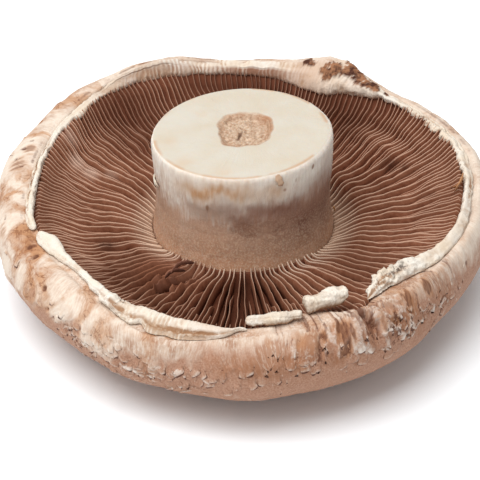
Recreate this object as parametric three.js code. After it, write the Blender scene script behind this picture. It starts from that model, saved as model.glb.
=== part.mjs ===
// A portobello mushroom with a cut stem, lying on its cap with the gills up.
// Millimetres, +Z up. The stem's axis is x = y = 0 while the pieces are shaped, and the ground is z = 0.
// Angles run anticlockwise from +X, seen from above.
import * as THREE from 'three';

// ---- Driving dimensions ----
const restRadius = 15;          // flat spot that the cap rests on
const widestHeight = 17;        // height of the cap's widest ring
const sideSquareness = 2.2;     // exponent of the cap's lower side: 2 is round, more is boxier
const clearGap = 0.35;          // gap kept between the cap and what lies in it
const rimEdgeOut = 0.5;         // rim's crest stands this far outside the veil's corner
const rimEdgeUp = 0.2;          // and this far over it
const stemFootRadius = 21;
const stemSide = [[21, 20.4], [20.5, 23.5], [20.1, 29], [20.3, 36]];   // [radius, height] up its side
const gillInnerRadius = 21.4;   // where the gills meet the stem
const gillJoinHeight = 20.2;    // height of the gills' edges at the stem
const gillEndHeight = 26.5;     // mean height of the gills' edges at the rim
const rimTilt = 2.2;            // rim is this much higher at the back and lower at the front
const gillDepth = 4.2;          // from a gill's edge to the bottom of the groove beside it
const gillEdgeWidth = 0.62;     // thickness of a gill at its edge
const gillSkirt = 1.2;          // flesh under the grooves that holds the gills together
const longGills = 76;           // gills that run from the rim to the stem
const veilThickness = 1.5;
const stemTopHeight = 44.5;     // cut face's height on the axis
const stemTopSlopeX = 0.05;     // cut face rises this much per mm to the right
const stemTopSlopeY = -0.035;   // and falls this much per mm to the back
const pithCentre = [0.4, 1.4];
const pithHalfSize = [6.5, 7.9];
const pithSquareness = 2.8;     // 2 is an oval, more is boxier
const pithDepth = 1.3;
const pithRings = [[1.05, 0], [0.94, 0.35], [0.78, pithDepth]];   // [share of its size, depth]
const pithHollow = 0.3;         // its middle is this much deeper
const crestThickness = 1.3;     // height of the rim's crest over the veil's outer corner
const shoulderRadius = 20.6;    // stem just under its cut face
const shoulderLean = 0.25;      // shoulder is this much further in on the right
const shoulderInset = 0.6;      // from the shoulder in to the cut face, twice that on the right
const shoulderDrop = 2.2;       // from the cut face down to the shoulder
const shoulderRound = 0.7;      // height of the rounding over it
const shoulderCorner = 0.15;    // and how far in the rounding starts
const lipBack = 1.0;            // veil's lip hangs this far over the gills
const lipRise = 0.25;           // this far above its inner corner
const lipThickness = 0.75;

// The cap isn't round: each outline has a mean value and swells, each swell given as
// [middle angle in degrees, spread in degrees, rise in mm]
const widest = {             // radius of the widest ring
  mean: 56.5,
  swells: [[25, 35, 3.1], [123, 42, 5.5], [160, 11, 1.7], [228, 30, -2.5], [330, 24, -2.9]],
};
const rimRadius = {          // radius of the rim's crest
  mean: 49.5,
  swells: [[22, 38, 6.2], [66, 20, 2.4], [118, 34, 6.4], [192, 10, 0.9], [215, 14, -1.5], [250, 14, 3.5]],
};
const rimHeight = {          // height of the rim's crest, without its tilt
  mean: 28,
  swells: [[66, 10, 4.2], [84, 9, 1.2], [112, 15, 2.6], [305, 28, 2.2]],
};
const rollSquareness = {     // exponent of the cap's upper side: 2 is round, more is fuller
  mean: 2.2,
  swells: [[28, 20, 1.2], [136, 9, 1.6], [164, 14, 0.5]],
};
const crestTilt = 3.2;       // crest is this much higher at the back and lower at the front
const bandWidth = {          // from the crest in to the gills, under the veil
  mean: 2,
  swells: [
    [0, 20, 1.2], [47, 6, -0.8], [68, 12, 3.9], [215, 14, 1.4],
    [249, 17, 4.6], [288, 9, 3.8], [302, 6, -2.4], [313, 17, 3],
  ],
};
const veilFullness = {       // times the veil's mean thickness
  mean: 1,
  swells: [[66, 13, 0.7], [322, 24, 1]],
};

const degree = Math.PI / 180;

// An outline's value at an angle
function aroundCap({ mean, swells }, angle) {
  return swells.reduce((value, [middle, spread, rise]) => {
    const away = Math.abs(angle / degree - middle) % 360;
    const nearest = Math.min(away, 360 - away);
    return value + rise * Math.exp(-((nearest / spread) ** 2));
  }, mean);
}

const mix = (a, b, f) => a + (b - a) * f;
const ringPoint = (radius, angle, height) =>
  new THREE.Vector3(radius * Math.cos(angle), radius * Math.sin(angle), height);

// Repeatable random numbers from 0 to 1
function makeRandom(seed) {
  let state = seed;
  return () => {
    state = (state * 1664525 + 1013904223) % 4294967296;
    return state / 4294967296;
  };
}

// Collects points and triangles, then gives one closed geometry
class Shell {
  constructor() {
    this.positions = [];
    this.triangles = [];
  }

  point(vector) {
    this.positions.push(vector.x, vector.y, vector.z);
    return this.positions.length / 3 - 1;
  }

  triangle(a, b, c) {
    if (a !== b && b !== c && c !== a) this.triangles.push(a, b, c);
  }

  // Quad a, b, c, d, split from a to c, or from b to d where crossed is true
  quad(a, b, c, d, crossed = false) {
    if (crossed) {
      this.triangle(a, b, d);
      this.triangle(b, c, d);
    } else {
      this.triangle(a, b, c);
      this.triangle(a, c, d);
    }
  }

  // Joins neighbouring rows of points; closed rows run all the way round
  skin(rows, closed = true) {
    for (let k = 0; k + 1 < rows.length; k += 1) {
      const count = rows[k].length;
      for (let i = 0; i < (closed ? count : count - 1); i += 1) {
        const next = (i + 1) % count;
        this.quad(rows[k][i], rows[k][next], rows[k + 1][next], rows[k + 1][i]);
      }
    }
  }

  // Closes a row of points with a fan round one point
  fan(row, centre, upward) {
    row.forEach((a, i) => {
      const b = row[(i + 1) % row.length];
      if (upward) this.triangle(a, b, centre);
      else this.triangle(b, a, centre);
    });
  }

  geometry() {
    const geometry = new THREE.BufferGeometry();
    geometry.setAttribute('position', new THREE.Float32BufferAttribute(this.positions, 3));
    geometry.setIndex(this.triangles);
    geometry.computeVertexNormals();
    return geometry;
  }
}

// A solid turned round the stem's axis from profile(angle), a list of [radius, height] that runs
// from near the axis below, outwards, up and back to near the axis on top
function turnedSolid(profile, segments, lowCentre, highCentre) {
  const shell = new Shell();
  const columns = [];
  for (let i = 0; i < segments; i += 1) {
    const angle = (i / segments) * 2 * Math.PI;
    columns.push(profile(angle).map(([radius, height]) => shell.point(ringPoint(radius, angle, height))));
  }
  const rows = columns[0].map((_, k) => columns.map((column) => column[k]));
  shell.skin(rows);
  shell.fan(rows[0], shell.point(lowCentre), false);
  shell.fan(rows[rows.length - 1], shell.point(highCentre), true);
  return shell.geometry();
}

// ---- Levels that the pieces share ----
const bandInnerRadius = (angle) => aroundCap(rimRadius, angle) - aroundCap(bandWidth, angle);
const crestLevel = (angle) => aroundCap(rimHeight, angle) + crestTilt * Math.sin(angle);
const gillOuterRadius = (angle) => bandInnerRadius(angle) - 0.05;
const gillEndLevel = (angle) => gillEndHeight + rimTilt * Math.sin(angle);

// f is 0 at the stem and 1 at the rim
const gillEdgeLevel = (angle, f) =>
  mix(gillJoinHeight, gillEndLevel(angle), 0.5 * f + 0.5 * f ** 3);
const grooveLevel = (angle, f) => gillEdgeLevel(angle, f) - gillDepth * (1 - 0.25 * f * f);
const gillBottomLevel = (angle, f) => grooveLevel(angle, f) - gillSkirt;

// The band of the rim that carries the veil: its outer and inner corner and the way it faces
function rimBand(angle) {
  const outer = new THREE.Vector2(aroundCap(rimRadius, angle) - 0.2, crestLevel(angle) - crestThickness);
  const inner = new THREE.Vector2(bandInnerRadius(angle) + 0.5, gillEndLevel(angle) + 0.4);
  const along = inner.clone().sub(outer).normalize();
  const facing = new THREE.Vector2(along.y, -along.x);
  return { outer, inner, facing };
}

// ---- Cap: skin and flesh, with the bed that the gills lie in ----
function capProfile(angle) {
  const sideRadius = aroundCap(widest, angle);
  const { outer, inner, facing } = rimBand(angle);
  const profile = [[restRadius, 0]];
  const lowerSteps = 8;
  for (let k = 1; k <= lowerSteps; k += 1) {
    const turn = ((k / lowerSteps) * Math.PI) / 2;
    const out = Math.sin(turn) ** (2 / sideSquareness);
    const down = Math.max(Math.cos(turn), 0) ** (2 / sideSquareness);
    profile.push([mix(restRadius, sideRadius, out), widestHeight * (1 - down)]);
  }
  const edge = [outer.x + rimEdgeOut, outer.y + rimEdgeUp];
  const upperSteps = 5;
  const roll = 2 / aroundCap(rollSquareness, angle);
  for (let k = 1; k <= upperSteps; k += 1) {
    const turn = ((k / upperSteps) * Math.PI) / 2;
    const out = Math.max(Math.cos(turn), 0) ** roll;
    profile.push([mix(edge[0], sideRadius, out), mix(widestHeight, edge[1], Math.sin(turn) ** roll)]);
  }
  const ledgeOuter = outer.clone().addScaledVector(facing, -clearGap);
  const ledgeInner = inner.clone().addScaledVector(facing, -clearGap);
  profile.push(ledgeOuter.toArray(), ledgeInner.toArray());
  const wall = gillOuterRadius(angle) + clearGap;
  for (const f of [1, 0.75, 0.5, 0.25, 0]) {
    const radius = f === 1 ? wall : mix(gillInnerRadius, gillOuterRadius(angle), f);
    profile.push([radius, gillBottomLevel(angle, f) - clearGap]);
  }
  return profile;
}

function capGeometry() {
  const seat = gillBottomLevel(0, 0) - clearGap;
  return turnedSolid(capProfile, 96, new THREE.Vector3(0, 0, 0), new THREE.Vector3(0, 0, seat));
}

// ---- Gills: long ones to the stem, with shorter ones between them from the rim ----
const gillRows = [0, 0.14, 0.3, 0.5, 0.73, 1];
const firstRow = { long: 0, middle: 2, short: 4 };     // first row that each kind of gill reaches
const gillOrder = ['long', 'short', 'middle', 'short'];
const gillLooseness = 0.2;                             // uneven spacing, as a share of a step
const gillSway = 0.5;                                  // mm that a gill waves from side to side
const gillSweep = 2.0;                                 // mm that whole sectors lean, to one side or the other
const gillUnevenness = [0.16, 0.12];                   // how unevenly the shorter gills start

// How far a gill wanders sideways, in mm
function gillWander(angle, f) {
  const sway = Math.sin(9 * f + 3 * angle) + 0.6 * Math.sin(17 * f - 5 * angle + 1);
  return gillSway * f * sway + gillSweep * f * Math.sin(2 * angle + 0.6);
}

function gillGeometry() {
  const shell = new Shell();
  const random = makeRandom(11);
  const count = longGills * gillOrder.length;
  const gills = Array.from({ length: count }, (_, i) => ({
    start: firstRow[gillOrder[i % gillOrder.length]],
    angle: ((i + gillLooseness * (random() - 0.5)) / count) * 2 * Math.PI,
  }));

  const reach = (angle, f) => mix(gillInnerRadius, gillOuterRadius(angle), f);
  const place = (angle, f, sideways, level) => {
    const turned = angle + sideways / reach(angle, f);
    return ringPoint(reach(turned, f), turned, level);
  };
  // The shorter gills start at uneven distances from the stem
  const [coarse, fine] = gillUnevenness;
  const unevenRow = (angle, f) =>
    f + f * (1 - f) * (coarse * Math.sin(23 * angle) + fine * Math.sin(37 * angle + 2));

  // Each gill has a left and a right edge point in every row that it reaches, and a groove after it.
  // Where it isn't reached, its three places hold the groove between the gills on either side.
  const rows = gillRows.map((rowPlace, k) => {
    const row = new Array(3 * count);
    gills.forEach(({ angle, start }, i) => {
      if (k < start) return;
      const f = unevenRow(angle, rowPlace);
      const wander = gillWander(angle, f);
      const level = gillEdgeLevel(angle, f);
      row[3 * i] = shell.point(place(angle, f, wander - gillEdgeWidth / 2, level));
      row[3 * i + 1] = shell.point(place(angle, f, wander + gillEdgeWidth / 2, level));
      let steps = 1;
      while (k < gills[(i + steps) % count].start) steps += 1;
      const next = gills[(i + steps) % count];
      const span = next.angle - angle + (next.angle < angle ? 2 * Math.PI : 0);
      const middle = angle + span / 2;
      const g = unevenRow(middle, rowPlace);
      const groove = shell.point(place(middle, g, gillWander(middle, g), grooveLevel(middle, g)));
      for (let c = 2; c < 3 * steps; c += 1) row[(3 * i + c) % row.length] = groove;
    });
    return row;
  });
  for (let k = 0; k + 1 < rows.length; k += 1) {
    const [inner, outer] = [rows[k], rows[k + 1]];
    inner.forEach((a, i) => {
      const next = (i + 1) % inner.length;
      const rightFace = i % 3 === 1;
      shell.quad(a, outer[i], outer[next], inner[next], rightFace);
    });
  }

  // Underside, one ring of points at each end and one half way
  const bottomRows = [0, 0.5, 1].map((f) => {
    const row = [];
    for (let i = 0; i < longGills; i += 1) {
      const { angle } = gills[i * gillOrder.length];
      row.push(shell.point(place(angle, f, gillWander(angle, f), gillBottomLevel(angle, f))));
    }
    return row;
  });
  shell.skin(bottomRows);

  // Walls at the rim and at the stem, each sector from one long gill to the next
  const perGill = 3 * gillOrder.length;
  const closeWall = (top, bottom, outward) => {
    for (let s = 0; s < longGills; s += 1) {
      const low = bottom[s];
      const lowNext = bottom[(s + 1) % longGills];
      const middle = s * perGill + perGill / 2;
      for (let c = 0; c < perGill; c += 1) {
        const a = top[s * perGill + c];
        const b = top[(s * perGill + c + 1) % top.length];
        const foot = s * perGill + c < middle ? low : lowNext;
        if (outward) shell.triangle(b, a, foot);
        else shell.triangle(a, b, foot);
      }
      const apex = top[middle];
      if (outward) shell.triangle(apex, low, lowNext);
      else shell.triangle(apex, lowNext, low);
    }
  };
  closeWall(rows[rows.length - 1], bottomRows[2], true);
  closeWall(rows[0], bottomRows[0], false);
  return shell.geometry();
}

// ---- Stem: nearly straight, cut across, with a sunken pith ----
const stemTopLevel = (x, y) => stemTopHeight + stemTopSlopeX * x + stemTopSlopeY * y;

function stemProfile(angle) {
  const foot = gillBottomLevel(0, 0);
  const shoulder = shoulderRadius - shoulderLean * Math.cos(angle);
  const face = shoulder - shoulderInset * (1 + Math.max(Math.cos(angle), 0));
  const onFace = (radius, drop) => {
    const x = radius * Math.cos(angle);
    const y = radius * Math.sin(angle);
    return [radius, stemTopLevel(x, y) - drop];
  };
  return [
    [stemFootRadius, foot],
    ...stemSide,
    onFace(shoulder, shoulderDrop),
    onFace(shoulder - shoulderCorner, shoulderRound),
    onFace(face, 0),
  ];
}

function stemGeometry() {
  const segments = 48;
  const shell = new Shell();
  const ring = (pointAt) => Array.from({ length: segments }, (_, i) =>
    shell.point(pointAt((i / segments) * 2 * Math.PI)));
  const rings = stemProfile(0).map((_, k) => ring((angle) => {
    const [radius, height] = stemProfile(angle)[k];
    return ringPoint(radius, angle, height);
  }));
  const pithRing = ([size, drop]) => ring((angle) => {
    const corners = Math.abs(Math.cos(angle)) ** pithSquareness + Math.abs(Math.sin(angle)) ** pithSquareness;
    const wobble = 1 + 0.03 * Math.sin(3 * angle + 1) + 0.02 * Math.sin(5 * angle);
    const reach = size * wobble * corners ** (-1 / pithSquareness);
    const x = pithCentre[0] + pithHalfSize[0] * reach * Math.cos(angle);
    const y = pithCentre[1] + pithHalfSize[1] * reach * Math.sin(angle);
    return new THREE.Vector3(x, y, stemTopLevel(x, y) - drop);
  });
  rings.push(...pithRings.map(pithRing));
  shell.skin(rings);
  shell.fan(rings[0], shell.point(new THREE.Vector3(0, 0, gillBottomLevel(0, 0))), false);
  const bottomLevel = stemTopLevel(...pithCentre) - pithDepth - pithHollow;
  const bottom = new THREE.Vector3(...pithCentre, bottomLevel);
  shell.fan(rings[rings.length - 1], shell.point(bottom), true);
  return shell.geometry();
}

// ---- Veil: a torn band round the rim, open where it has rolled up at the front ----
const veilFrom = -51;           // degrees, just right of the bare notch
const veilTo = 269;
const veilLumps = [0.85, 0.4];  // least thickness as a share, and how much more it may be
const veilEnds = [0.45, 0.2];   // share left at its ends, and how much each step inwards adds

function veilSection(angle, swell) {
  const { outer, inner, facing } = rimBand(angle);
  const along = inner.clone().sub(outer);
  const width = along.length();
  along.normalize();
  const at = (across, rise) => outer.clone()
    .addScaledVector(along, across)
    .addScaledVector(facing, rise * veilThickness * swell);
  const lip = inner.clone().add(new THREE.Vector2(-lipBack, lipRise));
  return [
    at(0, 0), at(-0.3, 0.5), at(-0.2, 0.9), at(0.28 * width, 1.05), at(0.75 * width, 0.85),
    lip.clone().add(new THREE.Vector2(0, lipThickness * swell)), lip, inner,
  ].reverse();
}

function sweptBand(angles, section) {
  const shell = new Shell();
  const rows = angles.map((angle, k) => section(angle, k).map((corner) =>
    shell.point(ringPoint(corner.x, angle, corner.y))));
  const closeEnd = (row, first) => {
    const centre = new THREE.Vector3();
    row.forEach((index) => centre.add(new THREE.Vector3().fromArray(shell.positions, 3 * index)));
    shell.fan(row, shell.point(centre.divideScalar(row.length)), first);
  };
  shell.skin(rows);
  closeEnd(rows[0], false);
  closeEnd(rows[rows.length - 1], true);
  return shell.geometry();
}

function veilGeometry() {
  const random = makeRandom(5);
  const steps = 96;
  const angles = Array.from({ length: steps + 1 }, (_, i) => mix(veilFrom, veilTo, i / steps) * degree);
  return sweptBand(angles, (angle, k) => {
    const swell = aroundCap(veilFullness, angle) * (veilLumps[0] + veilLumps[1] * random());
    const taper = Math.min(1, veilEnds[0] + Math.min(k, steps - k) * veilEnds[1]);
    return veilSection(angle, swell * taper);
  });
}

// ---- The two curls of veil that have torn loose and rolled inwards ----
const curlLumps = [0.86, 0.2];  // as the veil's lumps
const curlTaper = 0.8;          // how far its ends close, from 0 to 1
const curlFlatness = 0.95;      // its height as a share of its width

function curlGeometry({ from, to, radius, height, thickness, bend, seed }) {
  const random = makeRandom(seed);
  const steps = 14;
  const sides = 8;
  const angles = Array.from({ length: steps + 1 }, (_, i) => mix(from, to, i / steps) * degree);
  return sweptBand(angles, (angle, k) => {
    const f = k / steps;
    const closing = Math.sqrt(1 - curlTaper * (2 * f - 1) ** 4);
    const fullness = closing * (curlLumps[0] + curlLumps[1] * random());
    const half = (thickness / 2) * fullness;
    const middle = radius + bend * Math.sin(f * Math.PI);
    return Array.from({ length: sides }, (_, i) => {
      const turn = (-i / sides) * 2 * Math.PI;
      const rise = curlFlatness * half * Math.sin(turn);
      return new THREE.Vector2(middle + half * Math.cos(turn), height + rise);
    });
  });
}

const frontCurl = { from: 270.5, to: 286, radius: 46.3, height: 26.3, thickness: 2.7, bend: 0.4, seed: 3 };
const rightCurl = { from: 287.5, to: 301, radius: 44, height: 27.2, thickness: 4, bend: -0.5, seed: 8 };

// ---- The mushroom ----
function piece(name, geometry, color, roughness) {
  const mesh = new THREE.Mesh(geometry, new THREE.MeshStandardMaterial({ color, roughness, metalness: 0 }));
  mesh.name = name;
  return mesh;
}

const mushroom = new THREE.Group();
mushroom.add(
  piece('cap', capGeometry(), 0xc9a384, 0.8),
  piece('gills', gillGeometry(), 0x7d5644, 0.85),
  piece('stem', stemGeometry(), 0xe6dbc8, 0.7),
  piece('veil', veilGeometry(), 0xe9dfce, 0.85),
  piece('veil_curl_front', curlGeometry(frontCurl), 0xeee5d6, 0.85),
  piece('veil_curl_right', curlGeometry(rightCurl), 0xf0e8da, 0.85),
);

// The origin is the bottom centre of the whole mushroom's box
const middle = new THREE.Box3().setFromObject(mushroom).getCenter(new THREE.Vector3());
mushroom.position.set(-middle.x, -middle.y, 0);

export default mushroom;
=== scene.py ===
import math
import bpy
import numpy as np
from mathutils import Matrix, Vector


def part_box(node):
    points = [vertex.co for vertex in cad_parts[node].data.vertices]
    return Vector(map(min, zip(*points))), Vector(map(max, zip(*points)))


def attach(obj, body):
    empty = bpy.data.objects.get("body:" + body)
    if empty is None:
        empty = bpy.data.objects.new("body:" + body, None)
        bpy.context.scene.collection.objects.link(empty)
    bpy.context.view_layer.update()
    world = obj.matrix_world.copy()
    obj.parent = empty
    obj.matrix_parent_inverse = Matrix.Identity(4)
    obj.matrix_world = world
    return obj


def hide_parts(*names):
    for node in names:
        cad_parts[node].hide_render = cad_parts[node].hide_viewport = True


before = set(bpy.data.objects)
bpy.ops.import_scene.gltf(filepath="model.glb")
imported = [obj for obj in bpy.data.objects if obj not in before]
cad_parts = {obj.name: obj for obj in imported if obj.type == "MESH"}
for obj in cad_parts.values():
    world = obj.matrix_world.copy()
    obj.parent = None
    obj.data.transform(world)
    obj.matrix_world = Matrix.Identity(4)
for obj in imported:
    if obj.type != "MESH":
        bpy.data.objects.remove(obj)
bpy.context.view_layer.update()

mm = 0.001
degree = math.pi / 180
fullTurn = 2 * math.pi

# the stem's foot is round, so the middle of its box is the axis that everything is drawn about
stemLow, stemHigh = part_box("stem")
axisX = (stemLow[0] + stemHigh[0]) / 2 / mm
axisY = (stemLow[1] + stemHigh[1]) / 2 / mm

# the mushroom's main sizes in mm; an outline is a mean and its swells (middle degree, spread, rise)
form = {
    "restRadius": 15.0,
    "widestHeight": 17.0,
    "sideSquareness": 2.2,
    "gillInnerRadius": 21.4,
    "gillJoinHeight": 20.2,
    "gillEndHeight": 26.5,
    "gillDepth": 4.2,
    "rimTilt": 2.2,
    "crestTilt": 3.2,
    "crestThickness": 1.3,
    "widest": (56.5, [(25, 35, 3.1), (123, 42, 5.5), (160, 11, 1.7), (228, 30, -2.5), (330, 24, -2.9)]),
    "rimRadius": (49.5, [(22, 38, 6.2), (66, 20, 2.4), (118, 34, 6.4), (192, 10, 0.9), (215, 14, -1.5),
                         (250, 14, 3.5)]),
    "rimHeight": (28.0, [(66, 10, 4.2), (84, 9, 1.2), (112, 15, 2.6), (305, 28, 2.2)]),
    "rollSquareness": (2.2, [(28, 20, 1.2), (136, 9, 1.6), (164, 14, 0.5)]),
    "bandWidth": (2.0, [(0, 20, 1.2), (47, 6, -0.8), (68, 12, 3.9), (215, 14, 1.4),
                        (249, 17, 4.6), (288, 9, 3.8), (302, 6, -2.4), (313, 17, 3.0)]),
}


def mix(a, b, f):
    return a + (b - a) * f


def smooth(low, high, value):
    f = np.clip((value - low) / (high - low), 0, 1)
    return f * f * (3 - 2 * f)


def bump(value, middle, width):
    return np.exp(-((value - middle) / width) ** 2)


# degrees from one direction to another, the shorter way
def awayFrom(angle, middle):
    away = np.abs(np.asarray(angle) / degree - middle) % 360
    return np.minimum(away, 360 - away)


def aroundCap(outline, angle):
    mean, swells = outline
    total = mean + 0 * np.asarray(angle)
    for middle, spread, rise in swells:
        total = total + rise * bump(awayFrom(angle, middle), 0, spread)
    return total


# the strongest of some round spots, each x, y, radius, strength
def strongest(x, y, spots, drift=0.0):
    total = 0 * x
    for spotX, spotY, radius, strength in spots:
        total = np.maximum(total, strength * bump(np.hypot(x - spotX, y - spotY) + drift, 0, radius))
    return total


# repeatable noise from -1 to 1
def latticeValue(ix, iy, iz, seed):
    h = (ix * 374761393 + iy * 668265263 + iz * 1440662683 + seed * 974711) & 0x7fffffff
    h = ((h ^ (h >> 13)) * 1274126177) & 0x7fffffff
    h = h ^ (h >> 16)
    return (h & 0xffff) / 32767.5 - 1.0


def plainNoise(x, y, z, seed):
    ix, iy, iz = (np.floor(v).astype(np.int64) for v in (x, y, z))
    u, v, w = (f * f * f * (f * (f * 6 - 15) + 10) for f in (x - ix, y - iy, z - iz))
    total = 0
    for dx in (0, 1):
        for dy in (0, 1):
            for dz in (0, 1):
                weight = (u if dx else 1 - u) * (v if dy else 1 - v) * (w if dz else 1 - w)
                total = total + weight * latticeValue(ix + dx, iy + dy, iz + dz, seed)
    return total


def layeredNoise(x, y, z, seed, layers=3, fade=0.5):
    total = 0
    for k in range(layers):
        total = total + fade ** k * plainNoise(x * 2 ** k, y * 2 ** k, z * 2 ** k, seed + 17 * k)
    return total / sum(fade ** k for k in range(layers)) * 1.6


# noise at points; the size of its grain is in mm, one number or one for each axis
def pointNoise(points, size, seed, layers=3, fade=0.5):
    x, y, z = np.moveaxis(points / np.array(size), -1, 0)
    return layeredNoise(x, y, z, seed, layers, fade)


# noise on a ring: its grain is 'across' mm round the ring and 'along' mm the other way
def ringNoise(angle, other, radius, across, along, seed, layers=3, fade=0.5):
    x = np.cos(angle) * radius / across
    y = np.sin(angle) * radius / across
    return layeredNoise(x + 40, y + 40, other / along + 40, seed, layers, fade)


def ringPoint(radius, angle, height):
    return np.stack([radius * np.cos(angle), radius * np.sin(angle), height + 0 * radius], axis=-1)


# turns points in mm into a mesh; attributes are float values or 3-vectors per point
def makeMesh(name, points, faces, attributes):
    flat = np.asarray(points, dtype=float).reshape(-1, 3) + np.array([axisX, axisY, 0.0])
    mesh = bpy.data.meshes.new(name)
    mesh.vertices.add(len(flat))
    mesh.vertices.foreach_set("co", (flat * mm).astype(np.float32).ravel())
    sizes = np.concatenate([np.full(len(group), group.shape[1]) for group in faces])
    loops = np.concatenate([group.ravel() for group in faces])
    starts = np.concatenate([[0], np.cumsum(sizes)[:-1]])
    mesh.loops.add(len(loops))
    mesh.loops.foreach_set("vertex_index", loops.astype(np.int32))
    mesh.polygons.add(len(sizes))
    mesh.polygons.foreach_set("loop_start", starts.astype(np.int32))
    mesh.polygons.foreach_set("use_smooth", np.ones(len(sizes), dtype=bool))
    mesh.update(calc_edges=True)
    mesh.validate()
    for key, values in attributes.items():
        values = np.asarray(values, dtype=np.float32)
        kind, slot = ("FLOAT_VECTOR", "vector") if values.ndim > 1 else ("FLOAT", "value")
        mesh.attributes.new(key, kind, "POINT").data.foreach_set(slot, values.ravel())
    piece = bpy.data.objects.new(name, mesh)
    bpy.context.scene.collection.objects.link(piece)
    return piece


# quads of a grid whose columns join up at their ends; the rows may too
def gridFaces(rows, columns, first=0, closedRows=False, flip=False):
    r = np.arange(rows if closedRows else rows - 1)
    rr, cc = np.meshgrid(r, np.arange(columns), indexing="ij")
    rn = (rr + 1) % rows
    cn = (cc + 1) % columns
    quads = np.stack([rr * columns + cc, rr * columns + cn, rn * columns + cn, rn * columns + cc], axis=-1)
    quads = quads.reshape(-1, 4) + first
    return quads[:, ::-1] if flip else quads


def fanFaces(ring, centre, flip=False):
    faces = np.stack([ring, np.roll(ring, -1), np.full(len(ring), centre)], axis=-1)
    return faces[:, ::-1] if flip else faces


# faces of one small prism: its sides and its two flat ends
def prismFaces(rows, sides, first, flip=False):
    step = 1 if flip else -1
    ring = np.arange(sides)[None, :] + first
    return [gridFaces(rows, sides, first, flip=flip), ring[:, ::step], ring[:, ::-step] + (rows - 1) * sides]


# a piece from rows of closed rings, with a point at both ends; the last point has a share of each field
def makeClosed(name, grid, fields, start=None, end=None, flip=False, endShare=1):
    rows, columns = grid.shape[:2]
    count = rows * columns
    ring = np.arange(columns)
    faces = [gridFaces(rows, columns, flip=flip), fanFaces(ring, count, not flip)]
    faces.append(fanFaces(ring + count - columns, count + 1, flip))
    tips = np.array([grid[0].mean(axis=0) if start is None else start,
                     grid[-1].mean(axis=0) if end is None else end])
    attributes = {}
    for key, values in fields.items():
        if values.ndim == 3:
            attributes[key] = np.concatenate([values.reshape(-1, 3), tips])
        else:
            attributes[key] = np.concatenate([values.ravel(), [0, endShare * values[-1].mean()]])
    return makeMesh(name, np.concatenate([grid.reshape(-1, 3), tips]), faces, attributes)


def gridNormals(points):
    across = np.roll(points, -1, axis=1) - np.roll(points, 1, axis=1)
    normal = np.cross(across, np.gradient(points, axis=0))
    return normal / np.maximum(np.linalg.norm(normal, axis=-1, keepdims=True), 1e-9)


# a grid pushed outwards, away from a middle
def pushedOut(points, middle, push):
    normal = gridNormals(points)
    normal = normal * np.sign(np.sum(normal * (points - middle), axis=-1, keepdims=True))
    return points + normal * push[..., None], normal


def finishPiece(piece, material, slot, *nodes):
    piece.data.materials.append(material)
    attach(piece, "root")
    if nodes:
        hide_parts(*nodes)


# every colour is made this much deeper, because the light is strong
paintDepth = 0.72


def paint(red, green, blue):
    values = [v / 255 for v in (red, green, blue)]
    values = [v / 12.92 if v <= 0.04045 else ((v + 0.055) / 1.055) ** 2.4 for v in values]
    return tuple(paintDepth * v for v in values) + (1.0,)


# a material, and the few shader steps that materials are made of; where a step takes a value, it may be
# a number, a socket, an attribute's name, a colour (red, green, blue), or (value, low, high, toLow, toHigh)
class Surface:
    def __init__(self, name, roughness, specular):
        self.material = bpy.data.materials.new(name)
        self.material.use_nodes = True
        self.tree = self.material.node_tree
        self.shader = self.tree.nodes["Principled BSDF"]
        self.shader.inputs["Roughness"].default_value = roughness
        self.shader.inputs["Specular IOR Level"].default_value = specular
        self.place = self.add("TexCoord", {}).outputs["Object"]

    def add(self, kind, inputs, dataType=None):
        node = self.tree.nodes.new("ShaderNode" + kind)
        if dataType:
            node.data_type = dataType
        for key, value in inputs.items():
            if isinstance(value, str):
                value = self.read(value)
            elif isinstance(value, tuple):
                numbers = isinstance(value[0], (int, float))
                value = paint(*value) if numbers else self.span(*value)
            if isinstance(value, bpy.types.NodeSocket):
                self.tree.links.new(value, node.inputs[key])
            else:
                node.inputs[key].default_value = value
        return node

    def read(self, name, output="Fac"):
        node = self.add("Attribute", {})
        node.attribute_name = name
        return node.outputs[output]

    def noise(self, scale, detail=3, rough=0.6, distortion=0, vector=None):
        inputs = {"Scale": scale, "Detail": detail, "Roughness": rough, "Distortion": distortion}
        inputs["Vector"] = self.place if vector is None else vector
        return self.add("TexNoise", inputs).outputs["Fac"]

    def span(self, value, low, high, toLow=0, toHigh=1):
        inputs = {"Value": value, "From Min": low, "From Max": high, "To Min": toLow, "To Max": toHigh}
        return self.add("MapRange", inputs).outputs["Result"]

    def math(self, operation, a, b=0):
        node = self.add("Math", {0: a, 1: b})
        node.operation = operation
        return node.outputs[0]

    def plus(self, a, b):
        return self.math("ADD", a, b)

    def times(self, a, b):
        return self.math("MULTIPLY", a, b)

    def mix(self, factor, a, b, blend="MIX"):
        node = self.add("Mix", {"Factor": factor, "A": a, "B": b}, "RGBA")
        node.blend_type = blend
        return node.outputs["Result"]

    # each bump is a value, a strength and a height in metres
    def finish(self, colour, *bumps):
        self.tree.links.new(colour, self.shader.inputs["Base Color"])
        before = {}
        for value, strength, distance in bumps:
            inputs = {"Height": value, "Strength": strength, "Distance": distance, **before}
            before = {"Normal": self.add("Bump", inputs).outputs["Normal"]}
        self.tree.links.new(before["Normal"], self.shader.inputs["Normal"])
        return self.material


# levels that the gills, the cap and the veil share; f is the share of the way from the stem out to the rim
def gillOuterRadius(angle):
    return aroundCap(form["rimRadius"], angle) - aroundCap(form["bandWidth"], angle)


def gillEdgeLevel(angle, f):
    end = form["gillEndHeight"] + form["rimTilt"] * np.sin(angle)
    return mix(form["gillJoinHeight"], end, 0.5 * f + 0.5 * f ** 3)


def gillRootLevel(angle, f):
    return gillEdgeLevel(angle, f) - form["gillDepth"] * (1 - 0.25 * f * f)


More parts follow.
